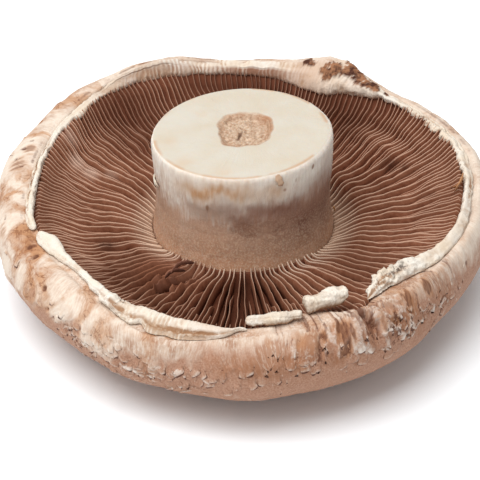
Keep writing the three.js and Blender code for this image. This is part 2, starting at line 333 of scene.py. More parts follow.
# the rim band that carries the veil: its outer edge's radius and height, its direction inwards, its width
def rimBand(angle):
    crest = aroundCap(form["rimHeight"], angle) + form["crestTilt"] * np.sin(angle)
    outerR = aroundCap(form["rimRadius"], angle) - 0.2
    outerZ = crest - form["crestThickness"]
    innerR = gillOuterRadius(angle) + 0.5
    innerZ = gillEdgeLevel(angle, 1.0) + 0.4
    width = np.hypot(innerR - outerR, innerZ - outerZ)
    return outerR, outerZ, (innerR - outerR) / width, (innerZ - outerZ) / width, width


print("scene: helpers ready")

# camera
camera = {
    "elevation": 35.0,
    "distance": 560.0,
    "pixelsPerMm": 4.29,
    "imageWidth": 480,
    "sensorWidth": 36.0,
    "clip": (0.01, 20),
    "target": (-0.70, -2.54, 16.37),
}


def addCamera():
    tilt = camera["elevation"] * degree
    away = np.array([0, -math.cos(tilt), math.sin(tilt)]) * camera["distance"]
    place = np.array(camera["target"]) + away + np.array([axisX, axisY, 0])
    data = bpy.data.cameras.new("camera")
    data.sensor_width = camera["sensorWidth"]
    data.lens = camera["pixelsPerMm"] * camera["distance"] / camera["imageWidth"] * data.sensor_width
    data.clip_start, data.clip_end = camera["clip"]
    seat = bpy.data.objects.new("camera", data)
    seat.location = place * mm
    seat.rotation_euler = (math.pi / 2 - tilt, 0, 0)
    bpy.context.scene.collection.objects.link(seat)
    bpy.context.scene.camera = seat


addCamera()

# floor and light; each light is a power, a size and a place in metres
studio = {
    "floorHalf": 3.0,
    "floorColour": (0.93, 0.95, 0.97, 1.0),
    "sky": 0.50,
    "aim": (0, 0, 0.02),
    "lights": {"keyLight": (12.4, 0.9, (-0.24, -0.15, 0.96)), "sideLight": (1.8, 0.9, (-0.90, -0.60, 0.60))},
}


def addStudio():
    half = studio["floorHalf"] / mm
    corners = [(-half, -half, 0), (half, -half, 0), (half, half, 0), (-half, half, 0)]
    floor = makeMesh("floor", corners, [np.array([[0, 1, 2, 3]])], {})
    surface = Surface("paleFloor", 0.9, 0.1)
    surface.shader.inputs["Base Color"].default_value = studio["floorColour"]
    floor.data.materials.append(surface.material)
    world = bpy.data.worlds.new("studioWorld")
    world.use_nodes = True
    background = world.node_tree.nodes["Background"]
    background.inputs["Color"].default_value = (1.0, 1.0, 1.0, 1.0)
    background.inputs["Strength"].default_value = studio["sky"]
    bpy.context.scene.world = world
    for name, (power, size, place) in studio["lights"].items():
        data = bpy.data.lights.new(name, "AREA")
        data.energy = power
        data.size = size
        lamp = bpy.data.objects.new(name, data)
        lamp.location = place
        x, y, z = (a - p for a, p in zip(studio["aim"], place))
        lamp.rotation_euler = (math.atan2(math.hypot(x, y), -z), 0, math.atan2(y, x) - math.pi / 2)
        bpy.context.scene.collection.objects.link(lamp)
    bpy.context.scene.view_settings.view_transform = "Standard"
    bpy.context.scene.view_settings.look = "None"


addStudio()
print("scene: camera, floor and light")

# cap: skin from the rim down to the flat spot, cream by the rim and pinkish tan below, torn in places
cap = {
    "columns": 900,
    "fineRows": 78,
    "fineReach": 20.0,
    "middleRows": 10,
    "middleReach": 34.0,
    "coarseRows": 6,
    "ledgeRows": 7,
    # steps that the outline is measured in: round the rim, and from the widest place down to the flat spot
    "rollSteps": 40,
    "bellySteps": 90,
    "girth": 57.0,
    "grainHeight": 4.5,
    "swirl": 0.45,
    "lumps": 0.45,
    "layerRise": 0.10,
    # lifted flakes: mm high, lean, how much they bend, mm thick
    "flake": (5.2, 0.05, 0.8, 0.30),
    # how far down from the rim the cream goes, and the torn pale layer
    "paleReach": (8.0, [(182, 32, 10.0), (226, 12, 2.0), (275, 24, -3.0), (315, 26, -4.5)]),
    "layerReach": (9.5, [(178, 40, 5.0), (228, 14, 0.5), (262, 18, -2.0), (45, 60, 3.0)]),
    # where the skin has flaked, where it is pleated, and where it is brown
    "flakes": (0.20, [(252, 15, 0.80), (229, 9, 0.5), (288, 18, 0.25), (325, 14, 0.45), (60, 60, 0.2)]),
    "pleats": (0.07, [(290, 12, 0.5), (330, 9, 0.25), (196, 14, 0.1)]),
    "rust": (0.32, [(196, 14, 0.30), (262, 22, 0.40), (292, 18, 0.70), (318, 16, 0.6)]),
    # the split in the rim (degree, mm long, deep and wide), and the pleats that fan out from it (degree,
    # mm down from the rim, mm wide and high)
    "split": (301.0, 10.0, 1.7, 0.9),
    "fan": (300.0, -4.0, 17.0, 0.60),
    # where the skin is fibrous, and where it has brown blotches and fine scratches
    "fibrous": (0.12, [(240, 26, 0.5), (285, 40, 0.75), (330, 16, 0.3)]),
    "blotches": (0.30, [(155, 18, 0.9), (200, 26, 0.6), (256, 20, 0.5), (120, 14, 0.4), (60, 40, -0.1)]),
    # dark crease along the veil
    "crease": (0.15, [(172, 16, 0.75), (122, 22, 0.6), (30, 16, 0.5), (88, 16, 0.4), (200, 6, 0.5)]),
    # small holes: degree, mm down from the rim, mm across
    "pits": [(200.5, 1.8, 1.5), (204.5, 2.2, 1.7), (214.0, 6.0, 1.4), (217.0, 9.5, 0.7), (219.0, 10.5, 0.7),
             (156.0, 3.5, 0.9), (159.5, 4.5, 1.3), (163.5, 5.5, 1.0), (167.0, 3.0, 0.8), (209.0, 8.0, 0.7),
             (186.0, 5.0, 0.8), (27.0, 6.0, 0.9), (74.0, 9.0, 1.0), (121.0, 12.0, 0.9), (338.0, 5.0, 0.9)],
    # dark patches: degree, mm down, degrees wide, mm high, strength
    "patches": [(294.0, 4.5, 2.4, 4.4, 0.85), (312.5, 3.0, 2.2, 3.4, 0.8), (320.5, 2.5, 1.6, 2.2, 0.75),
                (283.0, 3.0, 1.6, 2.2, 0.35), (276.0, 2.4, 1.0, 1.6, 0.3), (304.0, 4.5, 1.0, 2.6, 0.5),
                (289.0, 3.4, 0.7, 1.6, 0.6), (307.5, 5.0, 1.2, 1.6, 0.6), (166.0, 4.0, 3.4, 2.4, 0.5),
                (160.0, 2.5, 2.8, 1.8, 0.5), (152.0, 5.0, 2.4, 1.6, 0.35), (189.0, 6.5, 2.6, 1.8, 0.4)],
}


# points down the skin: 'drop' is the distance from the rim's edge in mm
def skinPoints(angle, drop):
    widest = aroundCap(form["widest"], angle)
    outerR, outerZ = rimBand(angle)[:2]
    rollPower = 2 / aroundCap(form["rollSquareness"], angle)
    power = 2 / form["sideSquareness"]
    radii = []
    heights = []
    for turn in np.linspace(math.pi / 2, 0, cap["rollSteps"]):
        radii.append(mix(outerR + 0.5, widest, max(math.cos(turn), 0) ** rollPower))
        heights.append(mix(form["widestHeight"], outerZ + 0.2, math.sin(turn) ** rollPower))
    for turn in np.linspace(math.pi / 2, 0, cap["bellySteps"])[1:]:
        radii.append(mix(form["restRadius"], widest, math.sin(turn) ** power))
        heights.append(form["widestHeight"] * (1 - max(math.cos(turn), 0) ** power) + 0 * widest)
    radii = np.array(radii)
    heights = np.array(heights)
    steps = np.hypot(np.diff(radii, axis=0), np.diff(heights, axis=0))
    reach = np.concatenate([np.zeros((1, len(angle))), np.cumsum(steps, axis=0)])
    radius = np.empty((len(drop), len(angle)))
    height = np.empty_like(radius)
    for c in range(len(angle)):
        beyond = mix(cap["middleReach"], reach[-1, c], drop - cap["middleReach"])
        wanted = np.where(drop <= cap["middleReach"], drop, beyond)
        radius[:, c] = np.interp(wanted, reach[:, c], radii[:, c])
        height[:, c] = np.interp(wanted, reach[:, c], heights[:, c])
    return radius, height


# how the skin is raised, how much of each finish it has, and how its grain runs, at every point
def skinFields(turn, drop, points):
    girth = cap["girth"]
    warp = pointNoise(points, 8, 3, 2)
    swirl = turn + cap["swirl"] * pointNoise(points, 15, 4, 2) * drop / girth

    def combed(across, along, seed, layers):
        return ringNoise(swirl, drop, girth, across, along, seed, layers)

    teeth = combed(1.2, 5.0, 5, 3)
    wide = combed(4.0, 6.0, 6, 2)
    fibre = combed(0.75, 4.5, 31, 3)
    hair = combed(0.6, 3.0, 71, 2)
    field = (aroundCap(cap["layerReach"], turn) + 2.2 * warp - drop) / 5.0 + 0.75 * teeth + 0.5 * wide
    layer = smooth(-0.15, 0.30, field)
    lip = bump(field, 0.22, 0.18) * smooth(2, 5, drop)
    # a dip just beyond the torn layer's edge, also painted dark as its shade
    shade = bump(field, -0.12, 0.10) * smooth(3, 6, drop)
    fibrous = aroundCap(cap["fibrous"], turn)

    flakeHigh, slope, bend, thick = cap["flake"]
    flaked = aroundCap(cap["flakes"], turn) * smooth(2.5, 5.5, drop) * smooth(19, 12, drop)
    flaked = smooth(0.28, 0.55, flaked + 0.28 * pointNoise(points, 4.5, 7, 2))
    step = drop / flakeHigh + bend * pointNoise(points, (6, 6, 5), 13, 2, 0.45) + slope * turn / degree
    step = step - np.floor(step)
    there = smooth(-0.10, 0.35, pointNoise(points, 5, 14, 2)) * flaked
    flakeLip = smooth(0.12, 0.02, step) * there
    # a groove beside each flake's raised lip, painted dark as the shadow of its edge
    crackAndShadowLine = smooth(0.87, 0.95, step) * there

    middle, above, wideness, foldHeight = cap["fan"]
    fromSplit = (turn / degree - middle) * degree * girth
    lean = np.arctan2(fromSplit, drop - above)
    far = np.hypot(fromSplit, drop - above)
    fanned = bump(fromSplit, 6.0, wideness * 0.6) * smooth(15, 7, drop)
    fold = layeredNoise(lean * 6.5 + 10, far / 7 + 0.5 * warp, 0 * far, 57, 3)
    pleat = mix(combed(2.1, 9.0, 37, 2), fold, fanned)
    pleat = mix(pleat, 1 - 2.6 * np.abs(pleat), smooth(20, 6, awayFrom(turn, middle)))
    pleated = aroundCap(cap["pleats"], turn) * smooth(13, 4, drop) + foldHeight * fanned
    inPleats = smooth(0.12, 0.40, pleated)
    at, long, deep, across = cap["split"]
    gash = bump((turn / degree - at) * degree * girth - 0.9 * teeth - 0.12 * drop, 0, across)
    gash = gash * smooth(long, long * 0.4, drop)

    hole = 0 * drop
    for degreesRound, down, size in cap["pits"]:
        away = np.hypot(awayFrom(turn, degreesRound) * degree * girth, (drop - down) * 0.8)
        hole = np.maximum(hole, bump(away * (1 + 0.25 * teeth), 0, size * 0.5))
    stain = 0 * drop
    for degreesRound, down, degreesWide, high, strength in cap["patches"]:
        place = bump(awayFrom(turn, degreesRound), 0, degreesWide) * bump(drop, down, high)
        stain = np.maximum(stain, strength * smooth(0.12, 0.95, place * (1 + 0.6 * fibre + 0.5 * hair)))
    scuff = pointNoise(points, (1.8, 1.8, 1.2), 33, 2) * smooth(4, 7, drop) * (0.55 + 0.6 * flaked)
    scuff = smooth(0.55, 0.90, scuff + 0.3 * pleated)

    push = cap["lumps"] * pointNoise(points, (15, 15, 12), 41, 2) + 0.12 * pointNoise(points, 3.4, 43, 2)
    push = push + cap["layerRise"] * (layer + 0.7 * lip - 0.8 * shade)
    push = push + thick * (1 - step) ** 3 * there - 0.22 * crackAndShadowLine
    push = push + 0.06 * fibrous * fibre * smooth(20, 6, drop) + pleated * pleat
    push = push - 0.75 * hole - 0.25 * stain * smooth(1.5, 4, drop) + 0.10 * scuff - deep * gash
    pale = (aroundCap(cap["paleReach"], turn) + 2.5 * warp + 1.2 * teeth - drop) / 7.0
    # pale torn tissue, partly a painted highlight on the raised lips and the pleat crests
    white = 0.15 * lip + 0.8 * flakeLip + 0.1 * scuff + 0.6 * inPleats * smooth(0.0, 0.7, pleat)
    crease = aroundCap(cap["crease"], turn) * bump(drop, 0.6, 0.55) * smooth(-0.35, 0.3, wide + 0.6 * teeth)
    # real cracks, holes, the split and the crease, plus painted shade in the pleat valleys and below torn
    # edges
    crack = inPleats * (0.75 * smooth(-0.35, -0.9, pleat) + 0.7 * smooth(0.40, 0.62, hair))
    crack = crack + 0.35 * shade + 0.6 * crackAndShadowLine + 1.3 * hole + gash + crease
    rust = aroundCap(cap["rust"], turn) * smooth(16, 3, drop)
    finishes = {
        "pale": smooth(-0.6, 0.9, pale) * mix(0.85, 1.0, layer),
        "white": np.clip(white, 0, 1),
        "crack": np.clip(crack, 0, 1),
        "rust": np.clip(rust + 0.30 * pointNoise(points, 5, 45), 0, 1),
        "stain": stain,
        "fibrous": np.clip(fibrous, 0, 1),
        "blotch": np.clip(aroundCap(cap["blotches"], turn) * smooth(26, 10, drop), 0, 1),
    }
    return push, finishes, swirl


# where the grain of the skin is read: round the cap, and down it
def grainPoint(turn, drop):
    return ringPoint(cap["girth"] + 0 * drop, turn, drop / cap["grainHeight"])


def buildCap():
    columns = cap["columns"]
    angle = np.arange(columns) / columns * fullTurn
    fine = np.linspace(0, cap["fineReach"], cap["fineRows"])
    middle = np.linspace(cap["fineReach"], cap["middleReach"], cap["middleRows"] + 1)[1:]
    coarse = cap["middleReach"] + np.linspace(0, 1, cap["coarseRows"] + 1)[1:]
    radius, height = skinPoints(angle, np.concatenate([fine, middle, coarse]))
    points = ringPoint(radius, angle[None, :], height)
    gaps = np.linalg.norm(np.diff(points, axis=0), axis=-1)
    drop = np.concatenate([np.zeros((1, columns)), np.cumsum(gaps, axis=0)])
    push, finishes, swirl = skinFields(np.broadcast_to(angle, drop.shape), drop, points)
    push = push * smooth(0.3, 2.5, height) * mix(0.35, 1.0, smooth(0.0, 1.5, drop))
    skin, normal = pushedOut(points, 0, push)

    # over the rim: the ledge under the veil, the wall beside the gills, and the bed below them
    outerR, outerZ, alongR, alongZ, width = rimBand(angle)
    bare = smooth(268, 274, angle / degree) * smooth(306, 302, angle / degree)
    wall = gillOuterRadius(angle) + 0.45
    rows = []
    for f in (0.0, 0.55, 1.0):
        rows.append((mix(form["gillInnerRadius"], wall, f), gillRootLevel(angle, f) - 1.6))
    for across in np.linspace(1, 0, cap["ledgeRows"]):
        sunk = (0.35 if across else 0.15) - 0.45 * bare * math.sin(math.pi * across)
        sunk = sunk - 0.35 * bare * ringNoise(angle, across * width, 45, 1.8, 6.0, 47, 3)
        rows.append((outerR + alongR * width * across - sunk * alongZ,
                     outerZ + alongZ * width * across + sunk * alongR))
    top = np.array([ringPoint(r, angle, h) for r, h in rows])
    fields = {"grain": np.concatenate([top, grainPoint(swirl, drop)])}
    for key, values in finishes.items():
        fields[key] = np.concatenate([np.broadcast_to(values[0], (len(top), columns)), values])
    hub = (0, 0, gillRootLevel(0.0, 0.0) - 1.6)
    piece = makeClosed("capBody", np.concatenate([top, skin]), fields, hub, (0, 0, 0), flip=True)
    material = capMaterial()
    finishPiece(piece, material, "cap_skin", "cap")
    for name, kind in tornKinds.items():
        buildTorn(name, kind, skin, normal, finishes, material)


# torn skin hanging down from where it is rooted: thin tongues, wide scales, and tongues at the rim;
# ranges are in mm, 'down' is the nearest, likeliest and farthest from the rim, 'lean' is in radians
tornKinds = {
    "skinTufts": {
        "count": 700, "seed": 207, "down": (3, 7, 15), "lean": 0.35, "tip": 1.5, "taper": 1.0,
        "length": (1.8, 5.0), "width": (0.35, 0.95), "lift": (0.10, 0.40),
        "pale": 0.30, "white": 0.5, "line": 2.0,
        "density": (0.04, [(228, 11, 0.85), (262, 16, 0.05), (300, 18, 0.25), (330, 16, 0.2)]),
    },
    "skinScales": {
        "count": 1100, "seed": 93, "down": (3, 7.5, 12), "lean": 0.40, "tip": 2.0, "taper": 0.80,
        "length": (2.0, 3.8), "width": (0.8, 2.3), "lift": (0.35, 0.72),
        "pale": 0.25, "white": 0.5, "line": 3.4,
        "density": (0.03, [(248, 15, 0.9), (229, 8, 0.5), (292, 22, 0.15)]),
    },
    "rimTongues": {
        "count": 900, "seed": 61, "down": (1, 4, 9), "lean": 0.35, "tip": 1.5, "taper": 1.0,
        "length": (1.8, 4.2), "width": (0.3, 0.8), "lift": (0.10, 0.40),
        "pale": 0.45, "white": 0.4, "line": 2.6,
        "density": (0.0, [(284, 9, 0.9), (311, 10, 0.8), (330, 12, 0.4)]),
    },
}
# every tongue: its points along and across, and in mm how deep its root and its underside lie in the skin
# and how far the underside reaches down past it, the underside painted dark as the shadow of the tongue
torn = {"rows": 9, "across": (-1.0, -0.5, 0.5, 1.0), "rooted": 0.12, "sunk": 0.10, "reach": 0.85}


def bothSides(upper, lower):
    return np.concatenate([upper, lower[:, ::-1]], axis=1)


def buildTorn(name, kind, skin, normal, finishes, material):
    random = np.random.default_rng(kind["seed"])
    columns = cap["columns"]
    rowStep = cap["fineReach"] / (cap["fineRows"] - 1)
    points = []
    faces = []
    collected = {key: [] for key in (*finishes, "grain")}
    across = np.array(torn["across"])[None, :]
    sides = 2 * across.size
    t = np.linspace(0, 1, torn["rows"])[:, None] ** 0.7
    for k in range(kind["count"]):
        turn = random.uniform(0, fullTurn)
        down = random.triangular(*kind["down"])
        keep = random.uniform() < aroundCap(kind["density"], turn)
        length = random.uniform(*kind["length"])
        width = random.uniform(*kind["width"])
        lift = random.uniform(*kind["lift"])
        lean = random.normal(0, kind["lean"])
        if not keep:
            continue
        narrow = np.sqrt(np.clip(1 - kind["taper"] * t ** kind["tip"], 0.004, 1))
        side = width * across * (narrow * (1 + 0.2 * np.sin(9 * t + k)))
        along = length * t
        turned = turn + (along * math.sin(lean) + side * math.cos(lean)) / cap["girth"]
        dropped = down + along * math.cos(lean) - side * math.sin(lean)
        c = (turned / fullTurn * columns) % columns
        r = np.clip(dropped / rowStep, 0, cap["fineRows"] - 2.001)
        ci = np.floor(c).astype(int)
        ri = np.floor(r).astype(int)

        def sampled(grid):
            after = (ci + 1) % columns
            rows = [mix(grid[row, ci].T, grid[row, after].T, (c - ci).T) for row in (ri, ri + 1)]
            return mix(*rows, (r - ri).T).T

        place = sampled(skin)
        outward = normal[ri, ci]
        raised = lift * t ** 1.4 * (1 - 0.35 * across ** 2) - torn["rooted"]
        downward = np.gradient(place, axis=0)
        downward = downward / np.linalg.norm(downward, axis=-1, keepdims=True)
        lower = place - outward * torn["sunk"] + downward * (torn["reach"] * t[..., None])
        faces += prismFaces(torn["rows"], sides, len(points) * torn["rows"] * sides)
        points.append(bothSides(place + outward * raised[..., None], lower).reshape(-1, 3))
        grain = grainPoint(turned, dropped)
        collected["grain"].append(bothSides(grain, grain).reshape(-1, 3))
        for key, values in finishes.items():
            kept = sampled(values) * (0.3 if key in ("crack", "stain") else 1)
            # the underside painted dark as the shadow beneath the tongue
            under = kept + kind["line"] * t ** 0.5 if key == "crack" else kept
            kept = kept + kind.get(key, 0) * t ** 3
            collected[key].append(bothSides(kept, under).ravel())
    attributes = {key: np.concatenate(values) for key, values in collected.items()}
    finishPiece(makeMesh(name, np.concatenate(points), faces, attributes), material, "cap_skin")


def capMaterial():
    s = Surface("capSkin", 0.7, 0.28)
    grain = s.read("grain", "Vector")
    fibres = s.noise(2.4, 4, 0.6, 0.3, grain)
    streaks = s.noise(0.5, 4, 0.6, 0.5, grain)
    clouds = s.noise(170, 4)
    specks = s.noise(1500)
    grit = s.noise(2600, 2)
    marbling = s.noise(95, 5, 0.6, 0.8)
    thread = s.math("ABSOLUTE", s.math("SUBTRACT", s.noise(210, 4, 0.6, 1.2), 0.5))
    pink = s.mix((grit, 0.34, 0.66), (174, 127, 100), (208, 164, 138))
    pink = s.mix((fibres, 0.40, 0.62, 0.3, 0), pink, (172, 120, 92))
    pink = s.mix((clouds, 0.5, 0.75, 0, 0.4), pink, (170, 120, 92))
    cream = s.mix((specks, 0.3, 0.7), (247, 228, 208), (252, 238, 222))
    cream = s.mix(s.times((fibres, 0.60, 0.36), ("fibrous", 0, 1, 0.08, 0.42)), cream, (222, 180, 146))
    cream = s.mix(s.times((marbling, 0.48, 0.62), ("blotch", 0, 1, 0.25, 1)), cream, (204, 146, 98))
    thread = s.times((thread, 0.030, 0.008), (marbling, 0.52, 0.62))
    cream = s.mix(s.times(thread, ("blotch", 0, 1, 0.2, 0.9)), cream, (136, 84, 52))
    level = s.plus("pale", (clouds, 0.3, 0.7, -0.28, 0.26))
    level = s.plus(level, s.times((streaks, 0.25, 0.75, -0.14, 0.14), ("fibrous", 0, 1, 0.3, 0.9)))
    colour = s.mix((level, 0.15, 0.85), pink, cream)
    rust = s.times(s.times("rust", (clouds, 0.38, 0.64)), (fibres, 0.64, 0.42, 0.35, 1))
    colour = s.mix((rust, 0, 0.6, 0, 0.75), colour, (168, 112, 76))
    # pale torn edges and tips, partly a painted highlight on raised lips and pleat crests
    white = s.plus("white", (specks, 0.3, 0.7, -0.2, 0.2))
    colour = s.mix((white, 0.35, 0.95, 0, 0.75), colour, (250, 240, 228))
    bruise = s.mix((fibres, 0.35, 0.7), (104, 58, 36), (158, 104, 68))
    bruise = s.mix(("stain", 0.25, 0.6), (200, 142, 96), bruise)
    colour = s.mix(("stain", 0.02, 0.55, 0, 0.85), colour, bruise)
    # dark cracks, holes and crease, partly painted shade below torn edges, in pleat valleys and under
    # tongues
    crack = s.plus("crack", (specks, 0.3, 0.7, -0.15, 0.15))
    colour = s.mix((crack, 0.30, 0.95, 0, 0.88), colour, (108, 60, 38))
    return s.finish(colour, (fibres, 0.30, 0.0004), (specks, 0.3, 0.0002), (grit, 0.25, 0.0002))


buildCap()
print("scene: cap")

# gills: thin waved blades in three lengths on a bed painted dark brown as the shade between them
gills = {
    "seed": 11,
    "groups": 51,
    # how far from even spacing each gill may be, as a share of the space
    "jitter": 0.15,
    "kinds": ("long", "short", "long", "middle", "short"),
    # how far out each kind starts, and how much that varies, as shares; and its rows of points
    "start": {"long": (0.0, 0.0), "middle": (0.05, 0.36), "short": (0.36, 0.50)},
    "rows": {"long": 58, "middle": 48, "short": 26},
    "edgeWidth": 0.16,
    "rootWidth": 0.62,
    "sink": 0.5,
    # the section of a blade: which side, and how far up
    "profile": ((-1, 0.0), (-1, 0.55), (-1, 0.95), (0, 1.0), (1, 0.95), (1, 0.55), (1, 0.0)),
    # how far the edges drop where they meet the stem, climb it at the front, and climb at the back rim
    "footDip": 0.7,
    "footRise": 1.9,
    "endRise": 1.7,
    # how far the gills at the sides start towards the front
    "footSweep": 3.4,
    # how much of the gills' depth the bed fills, elsewhere and at the front
    "bedFill": (0.50, 0.12),
    "bedColumns": 300,
    "bedRows": 22,
    "bedThickness": 0.9,
    # painted shade, where the gills are darker: x, y, radius, strength
    "paintedShadeSpots": [(0, 44, 18, 1.0), (-28, 37, 13, 0.9), (22, 38, 9, 0.8), (-44, 6, 9, 0.45),
              (-24, -26, 15, 0.55), (2, -34, 16, 0.45), (30, -24, 13, 0.5), (38, -4, 9, 0.25)],
    # torn hollow: x, y, radius, strength, and the depth in mm at each
    "hollows": [(-13.6, -22.4, 2.8, 1.0), (-17.2, -27.3, 2.4, 1.0)],
    "hollowDepths": (3.4, 2.2),
    # gills round the hollow lean over, by this many mm at the edge
    "leaning": [(-17.5, -22.5, 8.5, 1.0)],
    "leanBy": -2.2,
    # bruises, and the pale fold where several gills have grown together: x, y, radius, strength
    "bruises": [(35.8, 19.2, 2.6, 0.8), (39.0, 17.0, 1.6, 0.6), (-31.6, -10.3, 3.0, 0.75),
                (33.5, 15.5, 4.5, 0.3), (-16.0, -24.5, 4.5, 0.45), (44.0, 4.0, 2.0, 0.35),
                (-8.0, 38.0, 3.5, 0.3)],
    "merged": [(-42.5, 23.5, 2.6, 0.8), (-39.5, 18.5, 2.8, 1.0), (-36.0, 16.6, 2.6, 1.0),
               (-31.5, 17.0, 2.4, 0.7)],
}


# how much a direction faces the front
def frontShare(angle):
    return smooth(-0.2, -0.8, np.sin(angle))


# how far a gill wanders sideways, in mm; neighbours wander together
def gillWander(angle, f):
    sway = 0.5 * f * (np.sin(9 * f + 3 * angle) + 0.6 * np.sin(17 * f - 5 * angle + 1))
    sway = sway + 2.0 * f * np.sin(2 * angle + 0.6)
    sweep = -gills["footSweep"] * np.cos(angle) * (1 - smooth(0.0, 0.30, f)) ** 1.5
    x = np.cos(angle)
    y = np.sin(angle)
    wander = 0.85 * layeredNoise(x * 2.4 + 9, y * 2.4 + 9, f * 4.5 + 9, 61, 2)
    wander = wander + 0.24 * plainNoise(x * 7 + 20, y * 7 + 20, f * 13 + 9, 63)
    wander = wander + 0.08 * plainNoise(x * 22 + 50, y * 22 + 50, f * 26 + 9, 65)
    free = smooth(0.0, 0.3, f) * mix(0.10, 1.0, smooth(-0.90, -0.25, y))
    return sway * mix(0.2, 1.0, free) + sweep + free * wander


def bladePoints(angle, start, rows, seed):
    count = len(angle)
    wobble = np.random.default_rng(seed).uniform(-1, 1, (count, 1))
    a = angle[:, None]
    start = start[:, None]
    t = np.linspace(0, 1, rows)[None, :] ** 1.05
    f = start + (1 - start) * t
    radius = mix(form["gillInnerRadius"] - 0.3, gillOuterRadius(a) + 0.2, f)
    isLong = np.where(start > 0, 0.0, 1.0)
    x = radius * np.cos(a)
    y = radius * np.sin(a)
    hollow = strongest(x, y, gills["hollows"])
    depths = zip(gills["hollows"], gills["hollowDepths"])
    dug = strongest(x, y, [spot[:3] + (deep,) for spot, deep in depths])
    merged = strongest(x, y, gills["merged"])
    bare = strongest(x, y, gills["leaning"])
    stain = np.maximum(strongest(x, y, gills["bruises"]), 0.8 * hollow)
    middleX, middleY = gills["hollows"][0][:2]
    aside = (y - middleY) * np.cos(a) - (x - middleX) * np.sin(a)
    sideways = gillWander(a, f) + 0.11 * wobble
    sideways = sideways + hollow * (1.3 * np.tanh(aside) + 0.35 * np.sin(2.2 * radius + 6 * wobble))
    lean = gills["leanBy"] * bare * (0.75 + 0.25 * wobble)
    level = gillEdgeLevel(a, f) + 0.20 * plainNoise(a * 30, f * 12, wobble * 3, 71) - 0.20 * np.abs(wobble)
    front = frontShare(a)
    dip = mix(gills["footDip"], -gills["footRise"] * (1 + 0.25 * wobble), front)
    level = level - dip * isLong * (1 - smooth(-0.03, 0.10, f)) ** 2
    level = level - dug * (0.6 + 0.4 * wobble + 0.5 * plainNoise(a * 60, radius, wobble * 4, 73))
    root = gillRootLevel(a, f) - gills["sink"]
    rising = np.clip(0.08 + t / mix(0.85, 0.42, smooth(-0.85, -0.97, np.sin(a))), 0, 1) ** 0.75
    rise = mix(rising, 1.0, isLong)
    level = mix(mix(root, level, mix(*gills["bedFill"], front) - 0.06), level, rise)
    backward = smooth(-0.2, 0.4, np.sin(a))
    level = level + gills["endRise"] * backward * smooth(0.84, 1.0, f)
    level = mix(root, level, mix(0.65 + 0.35 * smooth(1.0, 0.965, t), 1.0, backward))
    width = np.where(rise > 0.3, 1.0, 0.6) + 1.3 * merged
    halfEdge = gills["edgeWidth"] / 2 * width * (1 + isLong * bump(f, 0.0, 0.06))
    halfRoot = gills["rootWidth"] / 2 * width
    shape = (count, rows, len(gills["profile"]))
    points = np.empty(shape + (3,))
    up = np.empty(shape)
    for k, (side, lift) in enumerate(gills["profile"]):
        half = mix(halfRoot, halfEdge, min(lift / 0.95, 1.0))
        shift = sideways + side * half + lean * lift ** 1.5
        points[:, :, k] = ringPoint(radius, a + shift / radius, mix(root, level, lift))
        up[:, :, k] = lift * mix(0.88, 1.0, rise)
    fields = {"along": f, "stain": stain, "merged": merged, "bare": bare, "front": front}
    fields["dusk"] = strongest(x, y, gills["paintedShadeSpots"])
    fields = {key: np.broadcast_to(values[..., None], shape) for key, values in fields.items()}
    return points, {"up": up, **fields}


def buildGills():
    random = np.random.default_rng(gills["seed"])
    kinds = gills["kinds"]
    slots = gills["groups"] * len(kinds)
    jitter = random.uniform(-gills["jitter"], gills["jitter"], slots)
    angles = (np.arange(slots) + jitter) / slots * fullTurn
    points = []
    faces = []
    collected = {}
    first = 0
    for kind in ("long", "middle", "short"):
        angle = angles[np.array([kinds[i % len(kinds)] == kind for i in range(slots)])]
        low, spread = gills["start"][kind]
        start = low + spread * random.uniform(0, 1, len(angle))
        start = start * mix(0.5, 1.0, smooth(-0.5, -0.9, np.sin(angle)))
        rows = gills["rows"][kind]
        blades, fields = bladePoints(angle, start, rows, 80 + len(kind))
        sides = blades.shape[2]
        for blade in range(len(angle)):
            faces += prismFaces(rows, sides, first + blade * rows * sides, flip=True)
        first += len(angle) * rows * sides
        points.append(blades.reshape(-1, 3))
        fields["tint"] = np.repeat(random.uniform(0, 1, len(angle)), rows * sides)
        for key, values in fields.items():
            collected.setdefault(key, []).append(values.ravel())
    attributes = {key: np.concatenate(values) for key, values in collected.items()}
    piece = makeMesh("gillBlades", np.concatenate(points), faces, attributes)
    finishPiece(piece, gillMaterial(), "gills", "gills")

    columns = gills["bedColumns"]
    angle = np.arange(columns) / columns * fullTurn
    front = frontShare(angle)
    backward = smooth(0.1, 0.5, np.sin(angle))
    upper = []
    lower = []
    for f in np.linspace(0, 1, gills["bedRows"]) ** 1.6:
        radius = mix(form["gillInnerRadius"] - 0.2, gillOuterRadius(angle) + 0.25, f)
        root = gillRootLevel(angle, f)
        edge = gillEdgeLevel(angle, f)
        lower.append(ringPoint(radius, angle, root - gills["bedThickness"]))
        root = mix(root, edge, mix(*gills["bedFill"], front))
        root = mix(root, edge + 0.4, front * max(1 - f / 0.08, 0) ** 1.5)
        root = mix(root, edge + 0.5 * gills["endRise"], backward * smooth(0.88, 1.0, f))
        upper.append(ringPoint(radius, angle, root))
    grid = np.array(upper + lower[::-1])
    bed = makeMesh("gillBed", grid, [gridFaces(len(grid), columns, closedRows=True)], {})
    # the bed's dark brown is painted shade in the gaps between the gills
    s = Surface("gillBedShade", 0.85, 0.1)
    mottle = s.noise(300)
    material = s.finish(s.mix(mottle, (92, 50, 35), (128, 76, 54)), (mottle, 0.4, 0.0003))
    finishPiece(bed, material, "gills", "gills")


